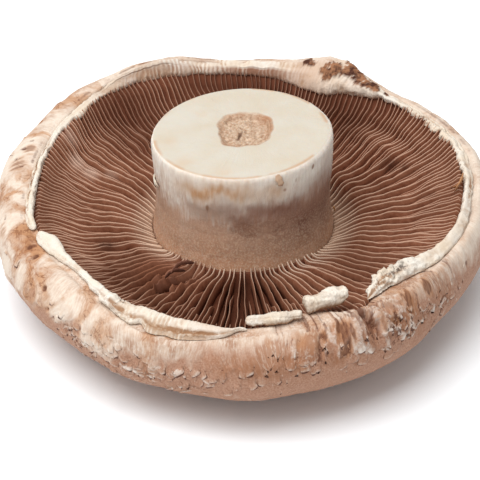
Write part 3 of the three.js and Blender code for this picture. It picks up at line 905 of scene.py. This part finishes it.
def gillMaterial():
    s = Surface("gillFlesh", 0.62, 0.22)
    mottle = s.noise(900)
    clouds = s.noise(70)
    flank = s.mix((mottle, 0.3, 0.7), (156, 94, 66), (190, 128, 98))
    flank = s.mix(("tint", 0, 1, 0, 0.3), flank, (200, 144, 112))
    edge = s.mix(("along", 0, 0.22), (250, 224, 200), (218, 176, 150))
    edge = s.mix(("bare", 0.1, 0.7, 0, 0.85), edge, (176, 114, 82))
    # painted shade: each blade darker from its edge down to its root, deep between the gills
    colour = s.mix(("up", 0.1, 0.75), (112, 60, 40), flank)
    # the pale edge is partly the gills' own paler colour and partly a painted highlight
    colour = s.mix(("up", 0.90, 0.985), colour, edge)
    colour = s.mix(s.times(("along", 0.20, 0), ("front", 0.1, 0.8, 0.8, 0)), colour, (238, 200, 170))
    colour = s.mix((clouds, 0.45, 0.75, 0, 0.3), colour, (142, 86, 56))
    colour = s.mix(("merged", 0.25, 0.9, 0, 0.7), colour, (214, 182, 162))
    # painted shade: the gills darkened by multiplying, most at the back under the rim
    dusk = s.plus("dusk", (clouds, 0.3, 0.7, -0.15, 0.15))
    colour = s.mix((dusk, 0, 1, 0, 0.85), colour, (176, 146, 132), "MULTIPLY")
    spotty = s.plus("stain", (mottle, 0.3, 0.7, -0.2, 0.2))
    colour = s.mix((spotty, 0.2, 0.9, 0, 0.8), colour, (84, 44, 30))
    return s.finish(colour, (mottle, 0.3, 0.0002))


buildGills()
print("scene: gills")

# stem: cut across, with a sunken tan pith
stem = {
    "columns": 420,
    "sideRows": 120,
    "shoulderRows": 9,
    "faceRows": 30,
    "pithRows": 52,
    "topHeight": 44.5,
    "topSlope": (0.05, -0.035),
    "shoulderRadius": 20.6,
    "shoulderInset": 0.6,
    # share of the way up the side, and the radius there
    "sideHeights": (0.0, 0.17, 0.28, 0.47, 0.72, 0.94),
    "sideRadii": (21.0, 21.0, 20.5, 20.1, 20.3, 20.6),
    "pithCentre": (0.4, 1.4),
    "pithHalf": (6.5, 7.9),
    "pithSquareness": 2.8,
    "pithDepth": 1.2,
    # marks on the side: degree, height in mm, degrees wide, mm high, strength
    "ochre": [(258, 41.3, 24, 2.6, 0.95), (292, 42.0, 7, 2.4, 0.6), (236, 40.5, 12, 2.0, 0.6),
              (75, 40, 30, 2.5, 0.6)],
    "brown": [(250, 35.0, 13, 3.0, 0.8), (236, 36.5, 6, 2.0, 0.4), (272, 31.5, 9, 2.5, 0.4),
              (95, 35, 26, 3.5, 0.6)],
    # the third list is a purple-brown band, partly its own colour and partly painted shade on the right side
    "dusk": [(284, 34.5, 20, 4.2, 0.7), (312, 33.0, 22, 6.5, 0.85), (342, 33.0, 20, 8.0, 0.85),
             (20, 33.0, 22, 6.0, 0.6), (266, 35.5, 12, 3.0, 0.5), (160, 33.0, 18, 3.5, 0.4)],
    "mark": [(320, 44.0, 1.5, 0.7, 0.9), (305, 42.8, 0.9, 1.0, 0.5), (297, 41.2, 1.6, 0.6, 0.6),
             (247, 36.5, 1.5, 1.2, 0.7), (30, 38, 1.5, 1.0, 0.7)],
    # tan smudges on the cut face: x, y, radius, strength
    "smudges": [(-13.5, -12.0, 2.0, 0.30), (-16.6, -3.0, 1.6, 0.2), (-9.5, 8.6, 1.2, 0.2),
                (-4.5, -16.5, 2.0, 0.2)],
    # where the pith's edge has browned: degree, degrees wide, strength
    "browned": [(38, 20, 1.0), (236, 17, 1.0), (4, 34, 0.75), (110, 30, 0.3), (180, 40, 0.25)],
}


def stemTop(x, y):
    return stem["topHeight"] + stem["topSlope"][0] * x + stem["topSlope"][1] * y


def slitAt(x, y):
    return bump(x + 0.7 - 0.25 * (y - 0.5), 0, 0.35) * bump(y, 0.3, 2.2)


def sideMark(angle, height, marks):
    total = 0 * height
    for middle, level, wide, high, strength in marks:
        total = total + strength * bump(awayFrom(angle, middle), 0, wide) * bump(height, level, high)
    return np.clip(total, 0, 1)


def buildStem():
    columns = stem["columns"]
    angle = np.arange(columns) / columns * fullTurn
    cosine = np.cos(angle)
    sine = np.sin(angle)
    shoulder = stem["shoulderRadius"] - 0.25 * cosine
    face = shoulder - stem["shoulderInset"] * (1 + np.maximum(cosine, 0))
    foot = gillRootLevel(0.0, 0.0) - 0.8
    brim = stemTop(shoulder * cosine, shoulder * sine)
    sideTop = stem["sideHeights"][-1]
    points = []
    ups = []
    for f in np.linspace(0, sideTop, stem["sideRows"]):
        base = np.interp(f, stem["sideHeights"], stem["sideRadii"]) + 0 * angle
        points.append(ringPoint(mix(base, shoulder, smooth(0.6, sideTop, f)), angle, mix(foot, brim, f)))
        ups.append(f)
    for t in np.linspace(0, 1, stem["shoulderRows"])[1:]:
        r = mix(shoulder, face, 1 - math.cos(t * math.pi / 2))
        h = mix(mix(foot, brim, sideTop), stemTop(r * cosine, r * sine), math.sin(t * math.pi / 2) ** 0.8)
        points.append(ringPoint(r, angle, h))
        ups.append(sideTop + (1 - sideTop) * t)
    sideCount = len(points)
    power = stem["pithSquareness"]
    wobble = (np.abs(cosine) ** power + np.abs(sine) ** power) ** (-1 / power)
    waves = 0.03 * np.sin(3 * angle + 1) + 0.02 * np.sin(5 * angle) + 0.02 * np.sin(11 * angle + 2)
    wobble = wobble * (1 + waves)
    centreX, centreY = stem["pithCentre"]
    pithX = centreX + stem["pithHalf"][0] * wobble * cosine
    pithY = centreY + stem["pithHalf"][1] * wobble * sine
    inside = []
    for s in np.linspace(0, 1, stem["faceRows"])[1:]:
        inside.append((mix(face * cosine, pithX, s), mix(face * sine, pithY, s), 0))
    for s in np.linspace(1, 0.03, stem["pithRows"])[1:]:
        inside.append((mix(centreX, pithX, s), mix(centreY, pithY, s), 1 - s))
    depths = [0] * sideCount
    for x, y, depth in inside:
        drop = stem["pithDepth"] * smooth(0.0, 0.30, depth) * mix(0.75, 1.0, 0.5 + 0.5 * cosine)
        sponge = layeredNoise(x / 1.1, y / 1.1, 0 * x + 3, 91, 3) * smooth(0.03, 0.2, depth)
        ridge = bump(depth, 0.17, 0.05) * (0.3 + 0.3 * np.cos(angle - 0.3))
        grainOnFace = 0.05 * layeredNoise(x / 2.5, y / 2.5, 0 * x, 97, 3)
        height = stemTop(x, y) - drop + 0.30 * sponge + ridge - 0.7 * slitAt(x, y) + grainOnFace
        points.append(np.stack([x, y, height], axis=-1))
        ups.append(1.0)
        depths.append(depth)
    grid = np.array(points)
    x, y, z = np.moveaxis(grid, -1, 0)
    side = np.zeros(x.shape)
    side[:sideCount] = smooth(1.0, 0.97, np.array(ups[:sideCount]))[:, None]
    turn = np.broadcast_to(angle, x.shape)
    streaks = ringNoise(turn, z, 20, 1.1, 7.0, 96, 3)
    push = 0.16 * pointNoise(grid, (8, 8, 9), 93, 2) + 0.05 * pointNoise(grid, (1, 1, 1.6), 95, 2)
    push = push + 0.04 * streaks
    grid = grid + ringPoint(1, angle, 0 * angle)[None] * (push * side)[..., None]

    rimmed = np.zeros(x.shape)
    rimmed[sideCount - 3:sideCount + 1] = np.array([0.4, 0.9, 1.0, 0.5])[:, None]
    rimmed = rimmed * smooth(-0.6, 0.3, ringNoise(turn, 0 * z, 20, 5.0, 5.0, 98, 2) - 0.3 * np.sin(turn))
    drift = 1.6 * layeredNoise(x / 5, y / 5, z / 5, 99, 3)
    browned = 0 * x
    for degreesRound, wide, strength in stem["browned"]:
        browned = np.maximum(browned, strength * bump(awayFrom(turn, degreesRound), 0, wide))
    fields = {
        "up": np.array(ups)[:, None] + 0 * x,
        "pith": np.array(depths)[:, None] + 0 * x,
        "face": 1 - side,
        "outline": rimmed,
        "smudge": strongest(x, y, stem["smudges"], 0.5 * drift) * (1 - side),
        "browned": browned,
        "slit": slitAt(x, y) * (1 - side),
        "grain": ringPoint(20 + 0 * z, turn, z / 6),
    }
    wanders = {"ochre": drift + streaks, "brown": drift, "dusk": 1.5 * drift, "mark": 0.3 * drift}
    for key, wander in wanders.items():
        fields[key] = sideMark(turn, z + wander, stem[key]) * side
    piece = makeClosed("stemBody", grid, fields, start=(0, 0, foot))
    finishPiece(piece, stemMaterial(), "stem", "stem")


def stemMaterial():
    s = Surface("stemFlesh", 0.6, 0.3)
    s.shader.inputs["Subsurface Weight"].default_value = 0.10
    s.shader.inputs["Subsurface Radius"].default_value = (0.003, 0.0015, 0.0008)
    s.shader.inputs["Subsurface Scale"].default_value = 0.5
    clouds = s.noise(110)
    speckle = s.noise(2300, 2, 0.7)
    rough = s.noise(1300, 4, 0.65)
    streaks = s.noise(1.5, 4, 0.65, 0, s.read("grain", "Vector"))
    level = s.plus("up", (clouds, 0.3, 0.7, -0.10, 0.10))
    level = s.plus(level, (streaks, 0.3, 0.7, -0.10, 0.10))
    side = s.mix((level, 0.22, 0.66), (210, 158, 124), (214, 176, 152))
    side = s.mix((level, 0.58, 0.84), side, (255, 244, 230))
    side = s.mix((streaks, 0.35, 0.62, 0.22, 0), side, (178, 138, 112))
    # purple-brown band, partly painted shade on the stem's right side
    side = s.mix(s.times("dusk", (clouds, 0.25, 0.6, 0.75, 1)), side, (150, 104, 84))
    side = s.mix(s.times("ochre", (streaks, 0.3, 0.6, 0.6, 1)), side, (206, 158, 116))
    side = s.mix(s.times("brown", (streaks, 0.36, 0.6, 0.6, 1)), side, (148, 104, 76))
    side = s.mix(s.times((speckle, 0.46, 0.62, 0, 0.62), ("up", 0.66, 0.38)), side, (238, 206, 178))
    side = s.mix(("mark", 0.25, 0.6, 0, 0.8), side, (146, 100, 70))
    cut = s.mix((clouds, 0.35, 0.75), (224, 216, 201), (220, 206, 184))
    cut = s.mix("smudge", cut, (222, 182, 140))
    colour = s.mix(("face", 0.2, 0.8), side, cut)
    tan = s.mix((rough, 0.34, 0.64), (176, 136, 106), (228, 202, 176))
    colour = s.mix(("pith", 0, 0.12), colour, tan)
    ringed = s.times(("pith", 0, 0.06), ("pith", 0.36, 0.12))
    colour = s.mix(s.times(ringed, ("browned", 0, 1, 0.15, 0.8)), colour, (182, 126, 86))
    colour = s.mix(("slit", 0.1, 0.8, 0, 0.7), colour, (110, 74, 54))
    colour = s.mix(("outline", 0.2, 1, 0, 0.6), colour, (206, 152, 106))
    return s.finish(colour, (speckle, 0.22, 0.0003), (rough, 0.12, 0.0003), (streaks, 0.25, 0.0004))


buildStem()
print("scene: stem")

# small torn bits, each a tapered sliver: its slot, where it starts and ends (degree, radius and height),
# how wide and thick it is and how far it bows, and its colours along the body and at the end
slivers = {
    "stemShred": ("stem", (190.5, 20.6, 35.4), (204.5, 20.9, 35.2), (1.1, 0.5, 0.2),
                  (243, 232, 212), (146, 102, 72)),
    "stemFlap": ("stem", (291.8, 20.3, 45.3), (294.6, 20.8, 42.4), (1.5, 0.3, 0.1),
                 (216, 180, 150), (172, 128, 98)),
    "footStrand": ("stem", (357.0, 20.9, 24.8), (2.0, 21.3, 22.4), (0.35, 0.3, 0.1),
                   (220, 160, 92), (190, 126, 66)),
    "rimScrapLong": ("veil", (7.5, 51.8, 28.8), (1.5, 48.9, 27.2), (0.9, 0.5, 0.6),
                     (196, 142, 98), (118, 72, 46)),
    "rimScrapShort": ("veil", (6.0, 51.6, 28.6), (3.0, 48.2, 27.4), (0.8, 0.5, -0.5),
                      (176, 118, 76), (104, 62, 38)),
    "hollowArch": ("gills", (233.5, 27.4, 20.9), (240.5, 21.8, 21.5), (0.5, 1.2, -1.3),
                   (132, 86, 68), (92, 54, 40)),
    "hollowFold": ("gills", (233.0, 29.2, 20.6), (238.5, 24.2, 20.4), (0.45, 1.0, -1.0),
                   (104, 62, 46), (76, 42, 30)),
}
sliverRows = 28
sliverSides = 14


def sidesAround(sides):
    return np.arange(sides)[None, :] / sides * fullTurn


def buildSlivers():
    t = np.linspace(0, 1, sliverRows)[:, None]
    around = sidesAround(sliverSides)
    for number, (name, sliver) in enumerate(slivers.items()):
        slot, start, end, (width, thickness, bow), body, tipColour = sliver
        turnBy = (end[0] - start[0] + 180) % 360 - 180
        angle = (start[0] + turnBy * t) * degree
        path = ringPoint(mix(start[1], end[1], t), angle, mix(start[2], end[2], t))
        along = path[-1, 0] - path[0, 0]
        outward = np.array([0, 0, 1.0]) if slot == "gills" else path.mean(axis=(0, 1)) * np.array([1, 1, 0])
        aside = np.cross(along, outward)
        aside = aside / np.linalg.norm(aside)
        outward = np.cross(aside, along) / np.linalg.norm(along)
        taper = np.sqrt(np.clip(1 - (2 * t - 0.9) ** 4, 0.01, 1)) * (1 + 0.12 * np.sin(14 * t + 3 * number))
        arch = np.sin(t * math.pi)
        wide = width / 2 * taper * np.cos(around) + bow * arch
        thick = thickness / 2 * (taper * np.sin(around) + arch)
        points = path + wide[..., None] * aside + thick[..., None] * outward
        points[..., 2] += 0.10 * pointNoise(points, 0.5, 140 + number, 2)
        piece = makeClosed(name, points, {"tip": t + 0 * around})
        s = Surface(name + "Flesh", 0.7, 0.25)
        mottle = s.noise(800)
        tip = s.plus("tip", (mottle, 0.3, 0.7, -0.15, 0.15))
        material = s.finish(s.mix((tip, 0.62, 0.95), body, tipColour), (mottle, 0.4, 0.0002))
        finishPiece(piece, material, slot)


buildSlivers()
print("scene: slivers")

# veil: a torn cottony band round the rim, in three stretches
veil = {
    "sides": 46,
    "thickness": 1.5,
    "stepsPerDegree": 5.2,
    "ringRadius": 50.0,
    "ribPitch": 0.16,
    # each stretch: its first and last degree, and over how many degrees each end tapers
    "stretches": {
        "veilBack": (-54.5, 137.5, 8.0, 2.0),
        "veilLeft": (135.5, 195.0, 2.0, 2.5),
        "veilFront": (197.0, 271.0, 2.2, 6.0),
    },
    # mm, but fullness multiplies the thickness, and cotton, pores, shade and speck are shares
    "fullness": (0.70, [(60, 13, 1.1), (317, 15, 1.3), (235, 6, 0.4), (202, 5, 0.5), (346, 14, 0.5)]),
    # thickness where it leaves the skin, as a share
    "outerThickness": (0.35, [(236, 28, 0.6), (318, 14, 0.3), (346, 12, 0.3)]),
    # how much farther out its outer edge lies
    "spread": (0.0, [(63, 9, 2.0), (96, 16, 0.8), (345, 8, 0.6)]),
    "cotton": (0.30, [(30, 14, 0.3), (314, 11, 2.2), (180, 14, 0.6), (235, 8, 0.8), (58, 10, 0.3)]),
    "ragged": (0.18, [(28, 16, 1.1), (316, 12, 0.9), (150, 20, 0.3), (62, 10, 0.25)]),
    "overhang": (0.3, [(28, 14, 0.6), (66, 12, 1.2), (321, 13, 2.4), (203, 5, 1.3), (100, 25, 0.5),
                       (139, 4, 1.0), (266, 5, -0.9)]),
    "inset": (0.15, [(218, 11, 1.7), (234, 8, 0.5), (244, 1.6, 1.7), (251, 3, 0.7), (0, 14, 0.9),
                     (314, 12, 3.0), (269, 3, 1.6)]),
    "ribs": (0.02, [(98, 20, 0.11), (64, 9, 0.02), (236, 6, 0.12), (252, 10, 0.08)]),
    "groove": (0.0, [(255, 10, 0.75), (172, 14, 0.35), (236, 6, 0.2), (30, 14, 0.4)]),
    "ribbon": (0.05, [(255, 10, 0.45), (172, 14, 0.2), (217, 9, 0.15)]),
    "pores": (0.12, [(172, 14, 0.7), (255, 9, 1.0), (236, 6, 0.7), (310, 8, 1.0), (2, 5, 0.8)]),
    # brown inner wall, partly painted shade and darkest between the ribs, below a dark seam a share of the
    # way across
    "shade": (0.0, [(86, 11, 1.3), (112, 16, 0.6)]),
    "blush": (0.05, [(72, 8, 0.7), (58, 8, 0.3), (112, 20, 0.40), (262, 7, 0.35), (350, 12, 0.15)]),
    "seam": (0.0, [(86, 10, 0.7), (118, 13, 1.0), (150, 8, 0.4)]),
    "seamShare": (0.42, [(118, 15, -0.30)]),
    "speck": (0.0, [(319, 5, 1.0)]),
    # brown scabs on the folded flap: degree, share of the way in, degrees wide, share wide
    "scabs": [(53.0, 0.32, 3.0, 0.40), (56.0, 0.26, 3.6, 0.42), (60.0, 0.18, 3.8, 0.32),
              (72.0, 0.12, 2.8, 0.17), (66.0, 0.42, 2.6, 0.26), (64.0, 0.28, 2.4, 0.20),
              (49.5, 0.35, 2.0, 0.22)],
}


def alongVeil(angle, other, across, along, seed, layers=3, fade=0.5):
    return ringNoise(angle, other, veil["ringRadius"], across, along, seed, layers, fade)


def bandSection(angle, around):
    outerR, outerZ, alongR, alongZ, width = rimBand(angle)
    cosine = np.cos(around)
    sine = np.sin(around)
    flat = 0 * angle
    inner = width + aroundCap(veil["overhang"], angle)
    inner = inner + aroundCap(veil["ragged"], angle) * alongVeil(angle, flat, 1.6, 1.0, 151, 4, 0.7)
    outer = aroundCap(veil["inset"], angle) - 0.25 + 0.25 * alongVeil(angle, flat, 2.4, 1.0, 153)
    half = (inner - outer) / 2
    across = (inner + outer) / 2 - half * np.sign(cosine) * np.abs(cosine) ** 0.8
    share = (across - outer) / (2 * half)
    thick = veil["thickness"] * aroundCap(veil["fullness"], angle)
    wedge = mix(aroundCap(veil["outerThickness"], angle), 1.0, smooth(0.05, 0.75, share))
    outerR = outerR + aroundCap(veil["spread"], angle) * smooth(0.6, 0.0, share)
    upper = np.maximum(sine, 0)
    ribs = aroundCap(veil["ribs"], angle)
    wander = 4.5 * alongVeil(angle, share, 4.0, 0.7, 155)
    ribbing = np.sin(angle * veil["ringRadius"] / veil["ribPitch"] + wander)
    ribbing = ribbing * (0.55 + 0.6 * alongVeil(angle, share, 2.2, 0.6, 157, 2))
    sunk = aroundCap(veil["groove"], angle) * bump(share, 0.27, 0.07)
    rise = thick * wedge * np.abs(sine) ** 0.75 * np.where(sine > 0, 1.0, -0.12)
    rise = rise + upper * (ribs * ribbing * smooth(0.1, 0.4, share) - sunk)
    rise = rise + upper * aroundCap(veil["ribbon"], angle) * bump(share, 0.12, 0.08)
    radius = outerR + alongR * across + alongZ * rise
    points = ringPoint(radius, angle, outerZ + alongZ * across - alongR * rise)
    return points, share, sunk, ribbing * smooth(0.02, 0.12, ribs)


def scabField(angle, share, grit):
    total = 0 * share
    for middle, across, wide, high in veil["scabs"]:
        total = np.maximum(total, bump(awayFrom(angle, middle), 0, wide) * bump(share, across, high))
    return smooth(0.44, 0.60, total * (1 + 0.7 * grit) + 0.12 * grit)


def buildVeil():
    around = sidesAround(veil["sides"])
    for name, (low, high, taperLow, taperHigh) in veil["stretches"].items():
        turn = np.linspace(low, high, int((high - low) * veil["stepsPerDegree"]))[:, None]
        toEnd = np.clip(np.minimum((turn - low) / taperLow, (high - turn) / taperHigh), 0, 1)
        ends = np.sqrt(np.clip(1 - (1 - toEnd) ** 2, 0.004, 1))
        points, share, sunk, ribbed = bandSection(turn * degree, around)
        middle = points.mean(axis=1, keepdims=True)
        points = middle + (points - middle) * ends[..., None]
        angle = np.broadcast_to(turn * degree, share.shape)
        cotton = aroundCap(veil["cotton"], angle)
        lumps = pointNoise(points, (2.4, 2.4, 2.0), 101, 5, 0.65)
        push = 0.55 * cotton * lumps + 0.20 * pointNoise(points, 6, 103, 2)
        scab = scabField(angle, share, pointNoise(points, 1.7, 107, 4, 0.6))
        scab = scab * smooth(-0.1, 0.15, np.sin(around))
        push = push + 0.18 * scab * (1 + pointNoise(points, 0.9, 109, 2))
        upper = 0.25 + 0.75 * smooth(-0.2, 0.4, np.sin(around))
        points = pushedOut(points, middle, push * upper * ends)[0]
        seamAt = aroundCap(veil["seamShare"], angle) + 0.06 * alongVeil(angle, 0 * angle, 3.0, 1.0, 159)
        inward = smooth(-0.04, 0.12, share - seamAt)
        fields = {
            # painted shade where the cotton is pushed in, in the groove and between the ribs
            "hollow": 0.30 - 0.9 * push / np.maximum(cotton, 0.3) + 1.4 * sunk - 0.35 * ribbed,
            "pores": aroundCap(veil["pores"], angle) * bump(share, 0.27, 0.16),
            "scab": scab,
            "shade": aroundCap(veil["shade"], angle) * inward * (0.85 - 0.45 * ribbed),
            "seam": aroundCap(veil["seam"], angle) * bump(share, seamAt, 0.05),
            "blush": aroundCap(veil["blush"], angle) * (0.9 - 0.8 * ribbed),
            "speck": aroundCap(veil["speck"], angle) * bump(share, 0.40, 0.30),
        }
        fields = {key: np.clip(values, 0, 1) for key, values in fields.items()}
        finishPiece(makeClosed(name, points, fields, endShare=0), veilCotton, "veil", "veil")


def veilMaterial():
    s = Surface("veilCotton", 0.8, 0.2)
    pores = s.noise(1100, 4, 0.65)
    clouds = s.noise(150)
    blotches = s.noise(420, 4, 0.65, 0.3)
    colour = s.mix((clouds, 0.35, 0.7), (255, 248, 236), (246, 228, 204))
    colour = s.mix(("blush", 0, 1, 0, 0.8), colour, (206, 158, 128))
    # painted shade in the hollows of the cotton
    colour = s.mix(("hollow", 0.42, 0.95, 0, 0.6), colour, (190, 148, 110))
    # the inner wall's brown, partly painted shade
    colour = s.mix(("shade", 0, 1, 0, 0.95), colour, (142, 94, 68))
    colour = s.mix(("seam", 0.2, 0.9, 0, 0.85), colour, (104, 68, 48))
    porous = s.times("pores", (blotches, 0.34, 0.52))
    colour = s.mix((porous, 0.05, 0.55, 0, 0.85), colour, (164, 116, 76))
    crust = s.mix((blotches, 0.42, 0.58), (84, 48, 34), (174, 122, 88))
    crust = s.mix((pores, 0.55, 0.7, 0, 0.6), crust, (66, 38, 26))
    colour = s.mix("scab", colour, crust)
    speck = s.times("speck", (pores, 0.44, 0.58))
    colour = s.mix((speck, 0.1, 0.8, 0, 0.8), colour, (84, 70, 64))
    colour = s.mix((pores, 0.60, 0.74, 0, 0.4), colour, (186, 150, 120))
    return s.finish(colour, (pores, 0.55, 0.0004))


veilCotton = veilMaterial()
buildVeil()
print("scene: veil")

# the two curls torn from the veil at the front
curls = {
    "veilCurlFront": {"node": "veil_curl_front", "from": 270.5, "to": 286.0, "radius": 46.3, "height": 26.1,
                      "thickness": 2.6, "flat": 0.85, "bend": 0.2, "nub": 0.0, "rise": 0.3, "seed": 3},
    "veilCurlRight": {"node": "veil_curl_right", "from": 287.5, "to": 300.5, "radius": 44.3, "height": 26.8,
                      "thickness": 3.9, "flat": 0.95, "bend": -0.5, "nub": 0.8, "rise": 0.1, "seed": 8},
}
curlRows = 130
curlSides = 60


def buildCurls():
    f = np.linspace(0, 1, curlRows)[:, None]
    around = sidesAround(curlSides)
    for name, curl in curls.items():
        angle = mix(curl["from"], curl["to"], f) * degree
        fullness = np.sqrt(np.maximum(1 - (2 * f - 1) ** 14, 0.002))
        fullness = fullness * (1 + 0.10 * np.sin(9 * f + curl["seed"]))
        half = curl["thickness"] / 2 * fullness
        radius = curl["radius"] + curl["bend"] * np.sin(f * math.pi) + half * np.cos(around)
        nub = curl["nub"] * smooth(0.86, 0.97, f) + curl["rise"] * (2 * f - 1)
        height = curl["height"] + half * np.sin(around) * curl["flat"] + nub
        points = ringPoint(radius, angle, height)
        rolled = ringNoise(around, f * 14, curl["thickness"] / 2, 1.0, 4.0, 121 + curl["seed"], 3)
        push = 0.36 * pointNoise(points, 2.2, 111 + curl["seed"], 5, 0.62) + 0.12 * rolled
        push = push - 0.18 * bump(around, 0.6 * np.sin(3 * f + 1) + 0.5, 0.20) * smooth(0.0, 0.15, f)
        middle = points.mean(axis=1, keepdims=True)
        points = pushedOut(points, middle, push * fullness)[0]
        pores = 0.45 * smooth(0.2, -0.6, np.sin(around)) + 0.18 + 0.5 * smooth(0.93, 1.0, f)
        # painted shade where the curl is pushed in
        fields = {"hollow": 0.85 * np.clip(0.50 - 1.4 * push, 0, 1), "pores": pores + 0 * push}
        finishPiece(makeClosed(name, points, fields, endShare=0), veilCotton, "veil", curl["node"])


buildCurls()
print("scene: veil curls")
